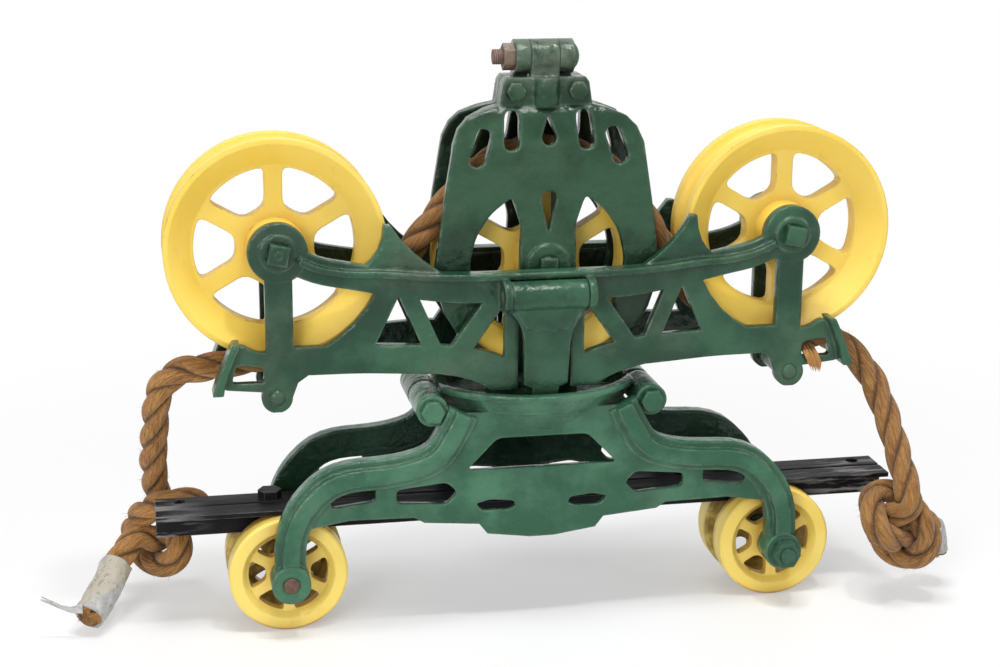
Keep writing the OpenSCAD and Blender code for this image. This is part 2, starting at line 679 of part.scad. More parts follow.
// half width of the post that carries the hub, at a height from it
function post_half(z) = 21 + 8 * pow(abs(z) / 54, 6) + 4 * pow(1 - abs(z) / 54, 2);
module cheek_outline() {
    difference() {
        both_sides() polygon(concat([[0.5, head_low + 6], [-head_half + 2, head_low + 6],
            [-head_half + 2, head_low + 2], [-50, head_low - 2], [-65, head_low - 8], [-73, head_low - 16],
            [-78, fall_z + 100], [-86, fall_z + 52]],
            [for (a = [0:12:60]) [0, fall_z] + [-cheek_r * cos(a), -cheek_r * sin(a)]],
            [[-36, cheek_low + 14], [-36, cheek_low], [0.5, cheek_low]]));
        // slots round the arch, and drops on the middle line
        for (s = [-1, 1]) {
            slot(s * 56, fall_z + 97, s * 18, 31, 6.5);
            slot(s * 30, fall_z + 110, s * 4, 31, 6.5);
        }
        drop(fall_z + 104, fall_z + 121, 6);
        drop(fall_z + 55, fall_z + 27, 6.5);
        // an open window between the post with the hub and the ring on either side, wider below
        both_sides() polygon(soft(concat([for (z = [54, 33, 14, -14, -33]) [-post_half(z), fall_z + z]],
            [[-25, fall_z - 56], [-27, fall_z - window_low * sin(70)]],
            [for (a = [-68, -56, -42]) [0, fall_z] - polar(window_low, -a)],
            [for (a = [-34:19:61]) [0, fall_z] - polar(ring_in, -a)]), 6));
    }
}
module cheek() {
    difference() {
        union() {
            intersection() {
                face(0, cheek_out + 1) cheek_outline();
                rotate([90, 0, 90]) translate([0, 0, -120]) linear_extrude(240)
                    polygon([[-cheek_in, cheek_low - 5], [-cheek_in, fall_z + 92],
                        [-cheek_in + 10, fall_z + 118], [-1, head_low], [-1, head_low + 8],
                        [-head_y + 1, head_low + 8], [-head_y + 1, head_low + 2],
                        [-cheek_out + 9, fall_z + 124], [-cheek_out, fall_z + 98],
                        [-cheek_out, cheek_low - 5]]);
            }
            face(0, head_y) both_sides() polygon([[0.5, head_top], [-head_half + 4, head_top],
                [-head_half + 1, head_top - 4], [-head_half - 2, head_low], [0.5, head_low]]);
            // swelling in the middle of the head, and the hub
            translate([0, -head_y + 4, head_low]) cylinder(h = head_top - head_low, r = knuckle_mid);
            across(0, -hub_boss_out, -cheek_in, fall_z, hub_boss_r);
        }
        across(0, -hub_boss_out - 1, -cheek_in + 1, fall_z, axle_r + fit);
        for (x = [-head_bolt_x, head_bolt_x]) across(x, -head_y - 1, 1, head_bolt_z, head_bolt_r + fit);
    }
}
module at_fall() {
    translate([fall_x, 0, 0]) children();
}
// one knuckle barrel on its neck
module knuckle(x0, x1) {
    difference() {
        union() {
            lengthwise(x0, x1, 0, knuckle_z, knuckle_r);
            translate([x0, -knuckle_r + 2, head_top - 1])
                cube([x1 - x0, knuckle_r - 3, knuckle_z - head_top]);
        }
        lengthwise(x0 - 1, x1 + 1, 0, knuckle_z, knuckle_bolt_r + fit);
    }
}
module cheek_front() {
    color(green) at_fall() {
        cheek();
        knuckle(-knuckle_mid, knuckle_mid);
    }
}
module cheek_rear() {
    color(green) at_fall() rotate(180) {
        cheek();
        knuckle(-knuckle_out, -knuckle_mid - side);
        knuckle(knuckle_mid + side, knuckle_out);
    }
}
module head_bolts() {
    color(green) at_fall() for (x = [-head_bolt_x, head_bolt_x]) {
        across(x, -head_y, head_y + nut_t + 2, head_bolt_z, head_bolt_r);
        hex_across(x, -head_y - 5, -head_y, head_bolt_z, 8);
    }
}
module head_nuts() {
    color(green) at_fall() for (x = [-head_bolt_x, head_bolt_x]) difference() {
        hex_across(x, head_y, head_y + nut_t, head_bolt_z, 9);
        across(x, head_y - 1, head_y + nut_t + 1, head_bolt_z, head_bolt_r + fit);
    }
}
module fall_axle() {
    head = 7;
    color(green) at_fall() {
        across(0, -hub_boss_out, hub_boss_out, fall_z, axle_r);
        translate([-head, -hub_boss_out - 3, fall_z - head]) cube([2 * head, 3, 2 * head]);
        to_rear() dome(0, -hub_boss_out, fall_z, axle_r + 4, 4);
    }
}
module knuckle_bolt() {
    color(rust) at_fall() {
        lengthwise(-knuckle_out - nut_t - 8, knuckle_out, 0, knuckle_z, knuckle_bolt_r);
        translate([knuckle_out, 0, knuckle_z]) rotate([0, 90, 0]) turned_dome(knuckle_r - 2, 6);
    }
}
module knuckle_nut() {
    color(rust) at_fall() difference() {
        translate([-knuckle_out - nut_t, 0, knuckle_z]) rotate([0, 90, 0])
            cylinder(h = nut_t, r = knuckle_r - 3, $fn = 6);
        lengthwise(-knuckle_out - nut_t - 1, -knuckle_out + 1, 0, knuckle_z, knuckle_bolt_r + fit);
    }
}

// rope: tangents and arcs through the three sheaves, then two free ends, each with an overhand knot
lay_z = sheave_z - fall_z;
function wrap(dx) = acos(2 * run_r / norm([dx, lay_z])) + atan2(lay_z, dx);
wrap_left = wrap(sheave_x + fall_x);
wrap_right = wrap(sheave_x - fall_x);
arc_step = 14;
function arc_points(x, z, from, to) =
    let (n = ceil(abs(to - from) / arc_step))
    [for (k = [0:n]) let (a = from + (to - from) * k / n) [x + run_r * cos(a), 0, z + run_r * sin(a)]];
// the rope leaves either side sheave near its lowest point; a point so far along from there
leave_a = 83;
function leave(s, d) = [s * (sheave_x - run_r * cos(leave_a) + d * sin(leave_a)), 0,
    sheave_z - run_r * sin(leave_a) - d * cos(leave_a)];
in_arc = arc_points(-sheave_x, sheave_z, -leave_a, -wrap_left);
over_arc = arc_points(fall_x, fall_z, 180 - wrap_left, wrap_right);
out_arc = arc_points(sheave_x, sheave_z, 180 + wrap_right, 180 + leave_a);
// the stretch over the fall block's sheave moves with the block, so it ends where the sheave can't reach
over_stub = 24;
over_first = over_arc[0];
over_last = over_arc[len(over_arc) - 1];
function before(d) = over_first + d * unit(in_arc[len(in_arc) - 1] - over_first);
function after(d) = over_last + d * unit(out_arc[0] - over_last);
in_path = concat([leave(-1, 38)], in_arc, [before(over_stub + 2 * seat)]);
over_path = concat([before(over_stub)], over_arc, [after(over_stub)]);
out_path = concat([after(over_stub + 2 * seat)], out_arc, [leave(1, 38)]);
// overhand knot: three lobes, opened where the rope goes in and out
function knot_point(t) = [knot_small * sin(t) + knot_large * sin(2 * t), -knot_deep * sin(3 * t),
    knot_small * cos(t) - knot_large * cos(2 * t)];
function turned_point(p, a) = [p[0] * cos(a) + p[2] * sin(a), p[1], p[2] * cos(a) - p[0] * sin(a)];
function knot(c, s, size) = [for (t = [180 - knot_open:-knot_step:-180 + knot_open])
    let (p = size * turned_point(knot_point(t), knot_turn)) c + [s * p[0], -s * p[1], p[2]]];
left_path = concat([leave(-1, 38), leave(-1, 70)], left_hang, knot(left_knot, 1, 1), left_tail);
right_path = concat([leave(1, 38), leave(1, 58)], right_hang, knot(right_knot, -1, right_knot_size),
    right_tail);
// a tube along a path, its rings square to the way it runs
function ring(p, i, r) = let (t = along(p, i), u = unit(cross(t, [0, 1, 0])), v = cross(t, u))
    [for (k = [0:rope_sides - 1]) let (a = 360 * k / rope_sides) p[i] + r * (cos(a) * u + sin(a) * v)];
module tube(path, r) {
    rings = len(path);
    n = rope_sides;
    sides = [for (i = [0:rings - 2]) for (k = [0:n - 1]) let (a = i * n + k, b = i * n + (k + 1) % n)
        each [[a, a + n, b], [b, a + n, b + n]]];
    polyhedron([for (i = [0:rings - 1]) each ring(path, i, r)],
        concat([[for (k = [0:n - 1]) k]], sides, [[for (k = [n - 1:-1:0]) (rings - 1) * n + k]]));
}
module rope_in() { color(manila) tube(in_path, rope_r); }
module rope_over() { color(manila) tube(over_path, rope_r); }
module rope_out() { color(manila) tube(out_path, rope_r); }
module rope_left() { color(manila) tube(left_path, rope_r); }
module rope_right() { color(manila) tube(right_path, rope_r); }
function tape_path(tail, rest) = let (end = tail[len(tail) - 1], d = unit(end - tail[len(tail) - 2]))
    concat([end + tape_gap * d, end + tape_first * d], rest);
module tape_left() { color(tape_grey) tube(tape_path(left_tail, left_tape), rope_r + tape_t); }
module tape_right() { color(tape_grey) tube(tape_path(right_tail, right_tape), rope_r + tape_t); }

truck_frame_front();
truck_frame_rear();
tie_bolts();
tie_nuts();
tie_spacers();
stub_axles();
stub_nuts();
stub_washers();
track_wheel_front_left();
track_wheel_front_right();
track_wheel_rear_left();
track_wheel_rear_right();
rail_angle_front();
rail_angle_rear();
rail_rivets();
rail_studs();
carriage_frame_front();
carriage_frame_rear();
swivel_yoke();
yoke_rivets();
sheave_axles();
sheave_nuts();
guide_pins();
latch_pins();
latch_front();
latch_rear();
sheave_left();
sheave_right();
fall_sheave();
cheek_front();
cheek_rear();
head_bolts();
head_nuts();
fall_axle();
knuckle_bolt();
knuckle_nut();
rope_in();
rope_over();
rope_out();
rope_left();
rope_right();
tape_left();
tape_right();
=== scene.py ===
# %% [markdown]
# # Dressing a cast hay trolley
# The trolley stands upside down on its four track wheels, as someone would put it on a bench to show it.
# Its castings are already solid models, so this lesson gives them their paint, wear and rust, lays a real
# three-strand rope over the sheaves, wraps the rope's ends in cloth tape, and sets up the light and the
# camera.

# %% Load the solid parts
import json
import math
import bpy
import numpy as np
from mathutils import Matrix, Vector


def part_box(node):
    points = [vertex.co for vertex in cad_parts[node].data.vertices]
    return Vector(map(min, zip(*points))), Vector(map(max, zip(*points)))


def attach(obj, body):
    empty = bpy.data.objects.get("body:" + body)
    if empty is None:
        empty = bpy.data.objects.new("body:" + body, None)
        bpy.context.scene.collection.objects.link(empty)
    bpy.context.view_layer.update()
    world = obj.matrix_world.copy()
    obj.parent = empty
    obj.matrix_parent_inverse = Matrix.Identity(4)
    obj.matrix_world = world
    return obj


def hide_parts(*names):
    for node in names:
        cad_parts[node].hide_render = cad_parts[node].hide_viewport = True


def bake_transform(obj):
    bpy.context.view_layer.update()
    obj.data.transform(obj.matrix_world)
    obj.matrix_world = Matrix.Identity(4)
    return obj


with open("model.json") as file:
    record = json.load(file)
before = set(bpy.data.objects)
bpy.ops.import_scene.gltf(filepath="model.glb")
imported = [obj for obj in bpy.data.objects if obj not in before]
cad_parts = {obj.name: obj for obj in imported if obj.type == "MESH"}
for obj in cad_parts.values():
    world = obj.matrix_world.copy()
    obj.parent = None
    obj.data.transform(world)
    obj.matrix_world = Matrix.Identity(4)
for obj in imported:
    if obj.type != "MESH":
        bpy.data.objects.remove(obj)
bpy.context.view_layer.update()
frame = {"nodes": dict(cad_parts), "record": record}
nodes = frame["nodes"]
MM = 0.001
print("solid parts:", len(nodes))

# %% [markdown]
# ## The camera
# A camera can be placed by eye, or worked out from things whose size and place are known. Here the rims of
# the sheaves, the wheels and the ends of the track were enough to work it out: it stands to the left, a
# little above the trolley, with a long lens. Its axes are built from a turn to the right, a tilt down and a
# slight roll, all in radians.

# %% Camera
CAMERA_PLACE = Vector((-0.3293, -1.4896, 0.6523))
TURN_RIGHT, TILT_DOWN, ROLL = 0.200, 0.266, 0.007
LENS_MM, SENSOR_MM = 68.03, 36
SEES_AS_FAR_AS = 60

level = math.cos(TILT_DOWN)
ahead = Vector((math.sin(TURN_RIGHT) * level, math.cos(TURN_RIGHT) * level, -math.sin(TILT_DOWN)))
right = Vector((math.cos(TURN_RIGHT), -math.sin(TURN_RIGHT), 0))
right = math.cos(ROLL) * right + math.sin(ROLL) * right.cross(ahead)
up = right.cross(ahead)
lens = bpy.data.cameras.new("bench_camera")
lens.sensor_width = SENSOR_MM
lens.lens = LENS_MM
lens.clip_end = SEES_AS_FAR_AS
camera = bpy.data.objects.new("bench_camera", lens)
camera.matrix_world = Matrix((
    (right.x, up.x, -ahead.x, CAMERA_PLACE.x),
    (right.y, up.y, -ahead.y, CAMERA_PLACE.y),
    (right.z, up.z, -ahead.z, CAMERA_PLACE.z),
    (0, 0, 0, 1)))
bpy.context.scene.collection.objects.link(camera)
bpy.context.scene.camera = camera
print("camera at", [round(v, 3) for v in camera.location])

# %% [markdown]
# ## The way the rope runs
# One rope goes under the left sheave, over the sheave of the fall block, under the right sheave, and hangs
# down at both ends to a knot. It could be drawn by hand all the way, but it would then miss the grooves it
# lies in. So the bends are arcs round the sheaves, and the straight stretches are tangents, which a little
# trigonometry gives.

# %% Arcs and tangents of the rope, in millimetres
SHEAVE_X, SHEAVE_Z = 213.0, 321.0
FALL_X, FALL_Z = 6.0, 302.2
RUN_R = 92.0
LEAVE = math.radians(83)
ARC_STEP = math.radians(7)
LEFT, RIGHT = -1, 1


def wrap(dx):
    dz = SHEAVE_Z - FALL_Z
    return math.acos(2 * RUN_R / math.hypot(dx, dz)) + math.atan2(dz, dx)


def arc(x, z, start, stop):
    count = max(2, math.ceil(abs(stop - start) / ARC_STEP))
    return [np.array((x + RUN_R * math.cos(a), 0, z + RUN_R * math.sin(a)))
            for a in np.linspace(start, stop, count + 1)]


def leave(hand, d):
    return np.array((hand * (SHEAVE_X - RUN_R * math.cos(LEAVE) + d * math.sin(LEAVE)), 0,
                     SHEAVE_Z - RUN_R * math.sin(LEAVE) - d * math.cos(LEAVE)))


wrap_left, wrap_right = wrap(SHEAVE_X + FALL_X), wrap(SHEAVE_X - FALL_X)
in_arc = arc(-SHEAVE_X, SHEAVE_Z, -LEAVE, -wrap_left)
over_arc = arc(FALL_X, FALL_Z, math.pi - wrap_left, wrap_right)
out_arc = arc(SHEAVE_X, SHEAVE_Z, math.pi + wrap_right, math.pi + LEAVE)
print("rope round the block:", round(math.degrees(math.pi - wrap_left - wrap_right)), "degrees")

# %% [markdown]
# ## Knots and hanging ends
# The ends hang free, so no formula gives their line, and their points are listed one by one. An overhand knot
# does have one: it is three lobes of a closed curve, cut open where the rope goes in and out. All stretches
# are then put in order, from the left taped end to the right one, with a note of where each starts.

# %% Knots, ends and the whole route
KNOT_RING, KNOT_LOBE, KNOT_DEEP = 11, 26, 18
KNOT_OPEN, KNOT_STEP = 42, 23
KNOT_TURN = math.radians(125)
LEFT_KNOT, RIGHT_KNOT = (-314, 58, 68), (316, -60, 71)
RIGHT_KNOT_SIZE = 0.88
LEFT_GUIDE, RIGHT_GUIDE, RUN_OUT = 70, 58, 38
BLOCK_TAIL = 24


def knot(middle, mirror, size):
    half = 180 - KNOT_OPEN
    made = []
    for degrees in range(half, -half - 1, -KNOT_STEP):
        t = math.radians(degrees)
        x = KNOT_RING * math.sin(t) + KNOT_LOBE * math.sin(2 * t)
        y = KNOT_DEEP * math.sin(3 * t)
        z = KNOT_RING * math.cos(t) - KNOT_LOBE * math.cos(2 * t)
        turned_x = x * math.cos(KNOT_TURN) + z * math.sin(KNOT_TURN)
        turned_z = z * math.cos(KNOT_TURN) - x * math.sin(KNOT_TURN)
        made.append(np.array(middle) + size * np.array((mirror * turned_x, mirror * y, turned_z)))
    return made


def step_on(a, b, d):
    return a + d * (b - a) / np.linalg.norm(b - a)


left_free = [leave(LEFT, LEFT_GUIDE), (-285, 5, 219), (-298, 10, 212), (-307, 16, 201), (-311, 22, 186),
             (-313, 34, 162), (-315, 48, 136), (-315, 62, 112)]
left_free += knot(LEFT_KNOT, 1, 1.0) + [(-347, 32, 48), (-354, 20, 38)]
left_taped = [(-362, 6, 27), (-374, -14, 16)]
right_free = [leave(RIGHT, RIGHT_GUIDE), (273, -1, 217), (284, -4, 207), (294, -8, 195), (301, -14, 182),
              (307, -23, 164), (311, -36, 144), (313, -52, 124), (314, -64, 108)]
right_free += knot(RIGHT_KNOT, -1, RIGHT_KNOT_SIZE) + [(344, -41, 61), (350, -39, 54)]
right_taped = [(353.5, -38, 46), (355.5, -39, 30)]
over_start = step_on(over_arc[0], in_arc[-1], BLOCK_TAIL)
over_end = step_on(over_arc[-1], out_arc[0], BLOCK_TAIL)
left_exit, right_exit = leave(LEFT, RUN_OUT), leave(RIGHT, RUN_OUT)
stretches = [
    ("taped_left", left_taped[::-1]), ("left", left_free[::-1]), ("in", [left_exit] + in_arc),
    ("over", [over_start] + over_arc), ("out", [over_end] + out_arc), ("right", [right_exit] + right_free),
    ("taped_right", right_taped)]
route, starts = [], {}
for name, points in stretches:
    starts[name] = len(route)
    route += [np.array(p, float) for p in points]
route = np.array(route)
print("route points:", len(route))

# %% [markdown]
# ## One smooth line
# A rope has no corners, so the route points are joined by a Catmull-Rom curve, which passes through every
# one of them. A Bezier curve would need handles to be set at each point, and this one needs none. The
# points are timed by the square root of their distance, which keeps the curve from looping where two points
# lie close together.

# %% Smooth the route
def smooth(points, fine=24):
    padded = np.vstack([2 * points[0] - points[1], points, 2 * points[-1] - points[-2]])
    line, index = [], []
    for i in range(len(points) - 1):
        p0, p1, p2, p3 = padded[i:i + 4]
        t0 = 0.0
        t1 = t0 + np.linalg.norm(p1 - p0) ** 0.5
        t2 = t1 + np.linalg.norm(p2 - p1) ** 0.5
        t3 = t2 + np.linalg.norm(p3 - p2) ** 0.5
        index.append(len(line))
        for t in np.linspace(t1, t2, fine, endpoint=False):
            a1 = (t1 - t) / (t1 - t0) * p0 + (t - t0) / (t1 - t0) * p1
            a2 = (t2 - t) / (t2 - t1) * p1 + (t - t1) / (t2 - t1) * p2
            a3 = (t3 - t) / (t3 - t2) * p2 + (t - t2) / (t3 - t2) * p3
            b1 = (t2 - t) / (t2 - t0) * a1 + (t - t0) / (t2 - t0) * a2
            b2 = (t3 - t) / (t3 - t1) * a2 + (t - t1) / (t3 - t1) * a3
            line.append((t2 - t) / (t2 - t1) * b1 + (t - t1) / (t2 - t1) * b2)
    index.append(len(line))
    return np.vstack([line, points[-1]]), index


fine_line, fine_index = smooth(route)
fine_length = np.concatenate([[0], np.cumsum(np.linalg.norm(np.diff(fine_line, axis=0), axis=1))])
rope_length = fine_length[-1]
place = {name: fine_length[fine_index[i]] for name, i in starts.items()}
print("whole rope:", round(rope_length), "mm")

# %% [markdown]
# ## Directions along the rope
# The line is cut into steps of equal length. Each step needs two directions square to the rope, from which
# its ring of corners is drawn. They could be worked out afresh from the bend at each step, but they would
# then flip where the bend changes sides. So the first one is carried along without twisting, which keeps
# the lay of the strands even.

# %% Carry a frame along the rope
STEP = 2.0
at = np.linspace(0, rope_length, round(rope_length / STEP) + 1)
centre = np.stack([np.interp(at, fine_length, fine_line[:, k]) for k in range(3)], 1)
tangent = np.gradient(centre, axis=0)
tangent /= np.linalg.norm(tangent, axis=1)[:, None]
side = np.zeros_like(centre)
side[0] = np.cross(tangent[0], (0, 0, 1))
for i in range(1, len(centre)):
    side[i] = side[i - 1] - tangent[i] * side[i - 1].dot(tangent[i])
    side[i] /= np.linalg.norm(side[i])
side[0] /= np.linalg.norm(side[0])
rise = np.cross(tangent, side)
print("steps along the rope:", len(at))

# %% [markdown]
# ## Three strands, laid up
# A rope could be a smooth tube with a painted pattern, but its edge would then be straight, and the edge of
# a laid rope is a row of bumps. So each ring of the tube has the outline of three strands pressed together:
# three circles set off from the middle, with a groove where two of them meet.

# %% Outline of three strands
ROPE_R = 11.75
THIRD = 2 * math.pi / 3
STRAND_OFF, STRAND_R = 0.32, 0.68
GROOVE_WIDE, GROOVE_DEEP = 0.20, 0.10
AROUND = 36
ANGLES = np.linspace(0, 2 * math.pi, AROUND, endpoint=False)


def strand_outline(angles):
    off = np.abs((angles + THIRD / 2) % THIRD - THIRD / 2)
    groove = np.exp(-((THIRD / 2 - off) / GROOVE_WIDE) ** 2)
    strand = STRAND_OFF * np.cos(off) + np.sqrt(STRAND_R ** 2 - (STRAND_OFF * np.sin(off)) ** 2)
    return strand - GROOVE_DEEP * groove, groove


outline, groove = strand_outline(ANGLES)
print("rope radius from", round(ROPE_R * outline.min(), 1), "to", round(ROPE_R * outline.max(), 1), "mm")

# %% [markdown]
# ## From rings to a mesh
# A mesh is a list of corners and a list of faces. Rings of corners are joined to their neighbours by faces of
# four corners each. A mesh can also keep numbers on its corners, which a finish reads later. The corners are
# given in millimetres, as on a workshop drawing, and this helper turns them into metres.

# %% Mesh helpers
def add_mesh(name, corners, faces, smooth_faces=True):
    mesh = bpy.data.meshes.new(name)
    mesh.from_pydata((np.asarray(corners) * MM).tolist(), [], faces)
    mesh.polygons.foreach_set("use_smooth", [smooth_faces] * len(mesh.polygons))
    piece = bpy.data.objects.new(name, mesh)
    bpy.context.scene.collection.objects.link(piece)
    return piece


def store(piece, name, kind, field, values):
    stored = piece.data.attributes.new(name, kind, "POINT")
    stored.data.foreach_set(field, np.asarray(values, np.float32).ravel())


def ring_faces(rows, n):
    return [(j * n + k, j * n + (k + 1) % n, (j + 1) * n + (k + 1) % n, (j + 1) * n + k)
            for j in range(rows - 1) for k in range(n)]


print("mesh helpers ready")

# %% [markdown]
# ## The rope's stretches
# Each ring turns a little further than the one before, as the strands do, and swells and shrinks slightly,
# because old rope is uneven. Two things are stored on every corner for the finish: how near it is to the
# groove between strands, and its place on the rope as if that were pulled straight, which lets the yarns be
# drawn along it. The rope is built in five stretches, because they hang on different parts of the trolley.

# %% Build the rope's stretches
LAY = 90.0
SWELLS = ((0.02, 17.0), (0.012, 5.3))


def rope_stretch(name, start, stop, closed=(False, False)):
    keep = np.where((at >= start - STEP / 2) & (at <= stop + STEP / 2))[0]
    corners, straight = [], []
    for i in keep:
        a = ANGLES + 2 * math.pi * at[i] / LAY
        swell = sum((height * math.sin(at[i] / wave) for height, wave in SWELLS), 1.0)
        u, v = ROPE_R * outline * swell * np.cos(a), ROPE_R * outline * swell * np.sin(a)
        corners.append(centre[i] + np.outer(u, side[i]) + np.outer(v, rise[i]))
        straight.append(np.stack([u, v, np.full(AROUND, at[i])], 1))
    faces = ring_faces(len(keep), AROUND)
    if closed[0]:
        faces.append(tuple(range(AROUND - 1, -1, -1)))
    if closed[1]:
        faces.append(tuple((len(keep) - 1) * AROUND + k for k in range(AROUND)))
    piece = add_mesh(name, np.vstack(corners), faces)
    store(piece, "groove", "FLOAT", "value", np.tile(groove, len(keep)))
    store(piece, "straight", "FLOAT_VECTOR", "vector", np.vstack(straight))
    return piece, centre[keep] * MM


rope_left, left_line = rope_stretch("rope_left_end", 0, place["in"], (True, False))
rope_in, _ = rope_stretch("rope_in_run", place["in"], place["over"])
rope_over, _ = rope_stretch("rope_over_block", place["over"], place["out"])
rope_out, _ = rope_stretch("rope_out_run", place["out"], place["right"])
rope_right, right_line = rope_stretch("rope_right_end", place["right"], rope_length, (False, True))
ropes = [rope_left, rope_in, rope_over, rope_out, rope_right]
print("rope faces:", sum(len(r.data.polygons) for r in ropes))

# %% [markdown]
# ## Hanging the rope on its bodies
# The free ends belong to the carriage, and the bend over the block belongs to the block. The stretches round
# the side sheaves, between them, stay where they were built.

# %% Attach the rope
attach(rope_left, "carriage")
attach(rope_right, "carriage")
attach(rope_over, "fall_block")
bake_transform(rope_in)
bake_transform(rope_out)
for piece, solid in zip(ropes, ("rope_left", "rope_in", "rope_over", "rope_out", "rope_right")):
    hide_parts(solid)
print("rope stretches:", [r.name for r in ropes])

# %% [markdown]
# ## Taped ends
# Cloth tape wound round a rope's end is creased and laps over itself in slanting turns. A cloth simulation
# could crease it, but a simple sum does as well here: the wrapping is a tube with a step at each turn of
# the tape and creases added as several waves of different lengths, drawn with a fixed seed, so that it
# comes out the same every time. Both edges are tucked in, so that the tape looks thick. At the rope's cut
# end it stops a little short and the brown fibres show.

# %% Tape round the two ends
TAPE_T, TAPE_LAP, TAPE_PITCH = 1.1, 0.5, 23.0
TAPE_LEAST = 0.5
CREASES = 9
CLOTH_PITCH = 21.0
TUCK = 0.8
BARE_LEFT, BARE_RIGHT = 1.5, 3
LAP_LEFT, LAP_RIGHT = 12, 9
TAPE_AROUND, TAPE_ROWS = 64, 50


def on_rope(s, data):
    return np.array([np.interp(s, at, data[:, k]) for k in range(3)])


def tape_wrap(name, start, stop, seed):
    rng = np.random.default_rng(seed)
    around = np.linspace(0, 2 * math.pi, TAPE_AROUND, endpoint=False)
    waves = [(rng.integers(2, 10), rng.uniform(-0.4, 0.4), rng.uniform(0, 6.28), rng.uniform(0.08, 0.30))
             for _ in range(CREASES)]
    corners, rough = [], []
    for s in np.linspace(start, stop, TAPE_ROWS):
        c, u, v = on_rope(s, centre), on_rope(s, side), on_rope(s, rise)
        r = ROPE_R + TAPE_T + TAPE_LAP * ((s / TAPE_PITCH + around / (2 * math.pi)) % 1.0)
        for count, drift, phase, height in waves:
            r = r + height * np.sin(count * around + drift * s + phase)
        r = np.maximum(r, ROPE_R + TAPE_LEAST)
        corners.append(c + np.outer(r * np.cos(around), u) + np.outer(r * np.sin(around), v))
        rough.append(np.sin(around - s / CLOTH_PITCH + seed))
    for edge in (0, -1):
        middle = corners[edge].mean(0)
        tucked = middle + (corners[edge] - middle) * TUCK
        corners.insert(0 if edge == 0 else len(corners), tucked)
        rough.insert(0 if edge == 0 else len(rough), rough[edge])
    piece = add_mesh(name, np.vstack(corners), ring_faces(len(corners), len(around)))
    store(piece, "fibrous", "FLOAT", "value", np.concatenate(rough))
    return piece


tape_left = tape_wrap("tape_wrap_left", BARE_LEFT, place["left"] + LAP_LEFT, seed=11)
tape_right = tape_wrap("tape_wrap_right", place["taped_right"] - LAP_RIGHT, rope_length - BARE_RIGHT, seed=5)
for piece, solid in ((tape_left, "tape_left"), (tape_right, "tape_right")):
    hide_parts(solid)
print("tape faces:", len(tape_left.data.polygons), len(tape_right.data.polygons))

# %% [markdown]
# ## A torn strip
# The tape's last turn has come loose and stands off the left end, split at its tip. A strip of tape is so
# thin that one layer of faces is enough. Each pair of corners lies to either side of a point on its middle
# line.

# %% Ribbons and the torn strip
TORN_STRIP = [(-378, -20, 27), (-387, -19, 26), (-397, -17, 29), (-405, -16, 33), (-411, -15, 35)]
SPLIT_TIP = [(-396, -17, 29.5), (-403, -17, 34), (-410, -18, 39)]


def ribbon(points, widths, across):
    points, across = np.array(points, float), np.array(across, float) / np.linalg.norm(across)
    pairs = [(p - w * across, p + w * across) for p, w in zip(points, widths)]
    faces = [(2 * i, 2 * i + 1, 2 * i + 3, 2 * i + 2) for i in range(len(points) - 1)]
    return np.array(pairs).reshape(-1, 3), faces


def ribbons(name, made):
    corners, faces = [], []
    for points, joined in made:
        faces += [tuple(len(corners) + k for k in f) for f in joined]
        corners += list(points)
    return add_mesh(name, corners, faces)


tape_strip = ribbons("tape_strip_left", [
    ribbon(TORN_STRIP, (4.0, 2.6, 1.6, 1.2, 0.8), (0, 0.5, 1)),
    ribbon(SPLIT_TIP, (1.2, 0.8, 0.6), (0.3, 0.5, 1))])
for piece in (tape_left, tape_right, tape_strip):
    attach(piece, "carriage")
print("tape pieces:", tape_left.name, tape_right.name, tape_strip.name)

# %% [markdown]
# ## Stray fibres
# Old natural rope is never smooth: broken fibres stand off it and blur its edge. Blender's hair could grow
# them, but it is not a mesh and would be lost when the model is exported. So each one is a narrow ribbon
# that leaves the rope at a random lean and curls a little. The same function makes the loose threads of the
# tape.

# %% Fibres along the rope
FIBRE_WIDTHS = (0.16, 0.12, 0.03)


def stray_fibres(start, stop, count, seed, longest=6.0, foot_at=0.9):
    rng = np.random.default_rng(seed)
    made = []
    for place_on in rng.uniform(start, stop, count):
        i = min(np.searchsorted(at, place_on), len(at) - 1)
        a = rng.uniform(0, 2 * math.pi)
        out = math.cos(a) * side[i] + math.sin(a) * rise[i]
        along = tangent[i] * rng.choice((-1, 1))
        sideways = np.cross(out, along)
        size = longest * rng.uniform(0.25, 1) ** 1.7
        lean = rng.uniform(0.2, 0.85)
        heading = (1 - lean) * along + lean * out + rng.uniform(-0.5, 0.5) * sideways
        foot = centre[i] + out * ROPE_R * foot_at
        tip = foot + heading * size + rng.normal(0, 0.16 * size, 3)
        made.append(ribbon([foot, foot + heading * size * 0.6, tip], FIBRE_WIDTHS, sideways))
    return made


strays_left = stray_fibres(place["left"], place["in"], count=1000, seed=3)
strays_right = stray_fibres(place["right"], place["taped_right"], count=1500, seed=6, longest=7.0)
strays_over = stray_fibres(place["over"], place["out"] - 12, count=260, seed=7, longest=4.0)
strays_tape = stray_fibres(2, place["left"] + 10, count=260, seed=12, longest=3.0, foot_at=1.1)
print("stray fibres:", len(strays_left) + len(strays_right) + len(strays_over) + len(strays_tape))

# %% [markdown]
# ## Brushed ends and a tuft
# At a cut end the yarns fan out into a short brush, which hides the flat cap of the tube. A matted tuft
# hangs out of the right rope guide, where the rope has been rubbed. Its fibres all follow one bent line,
# each shifted and cut a little differently, so that it stays one lock and doesn't fly apart.

# %% Cut ends and tuft
END_FIBRES, TUFT_FIBRES = 130, 46
TUFT_WIDTHS = (0.6, 0.7, 0.8, 0.7, 0.2)


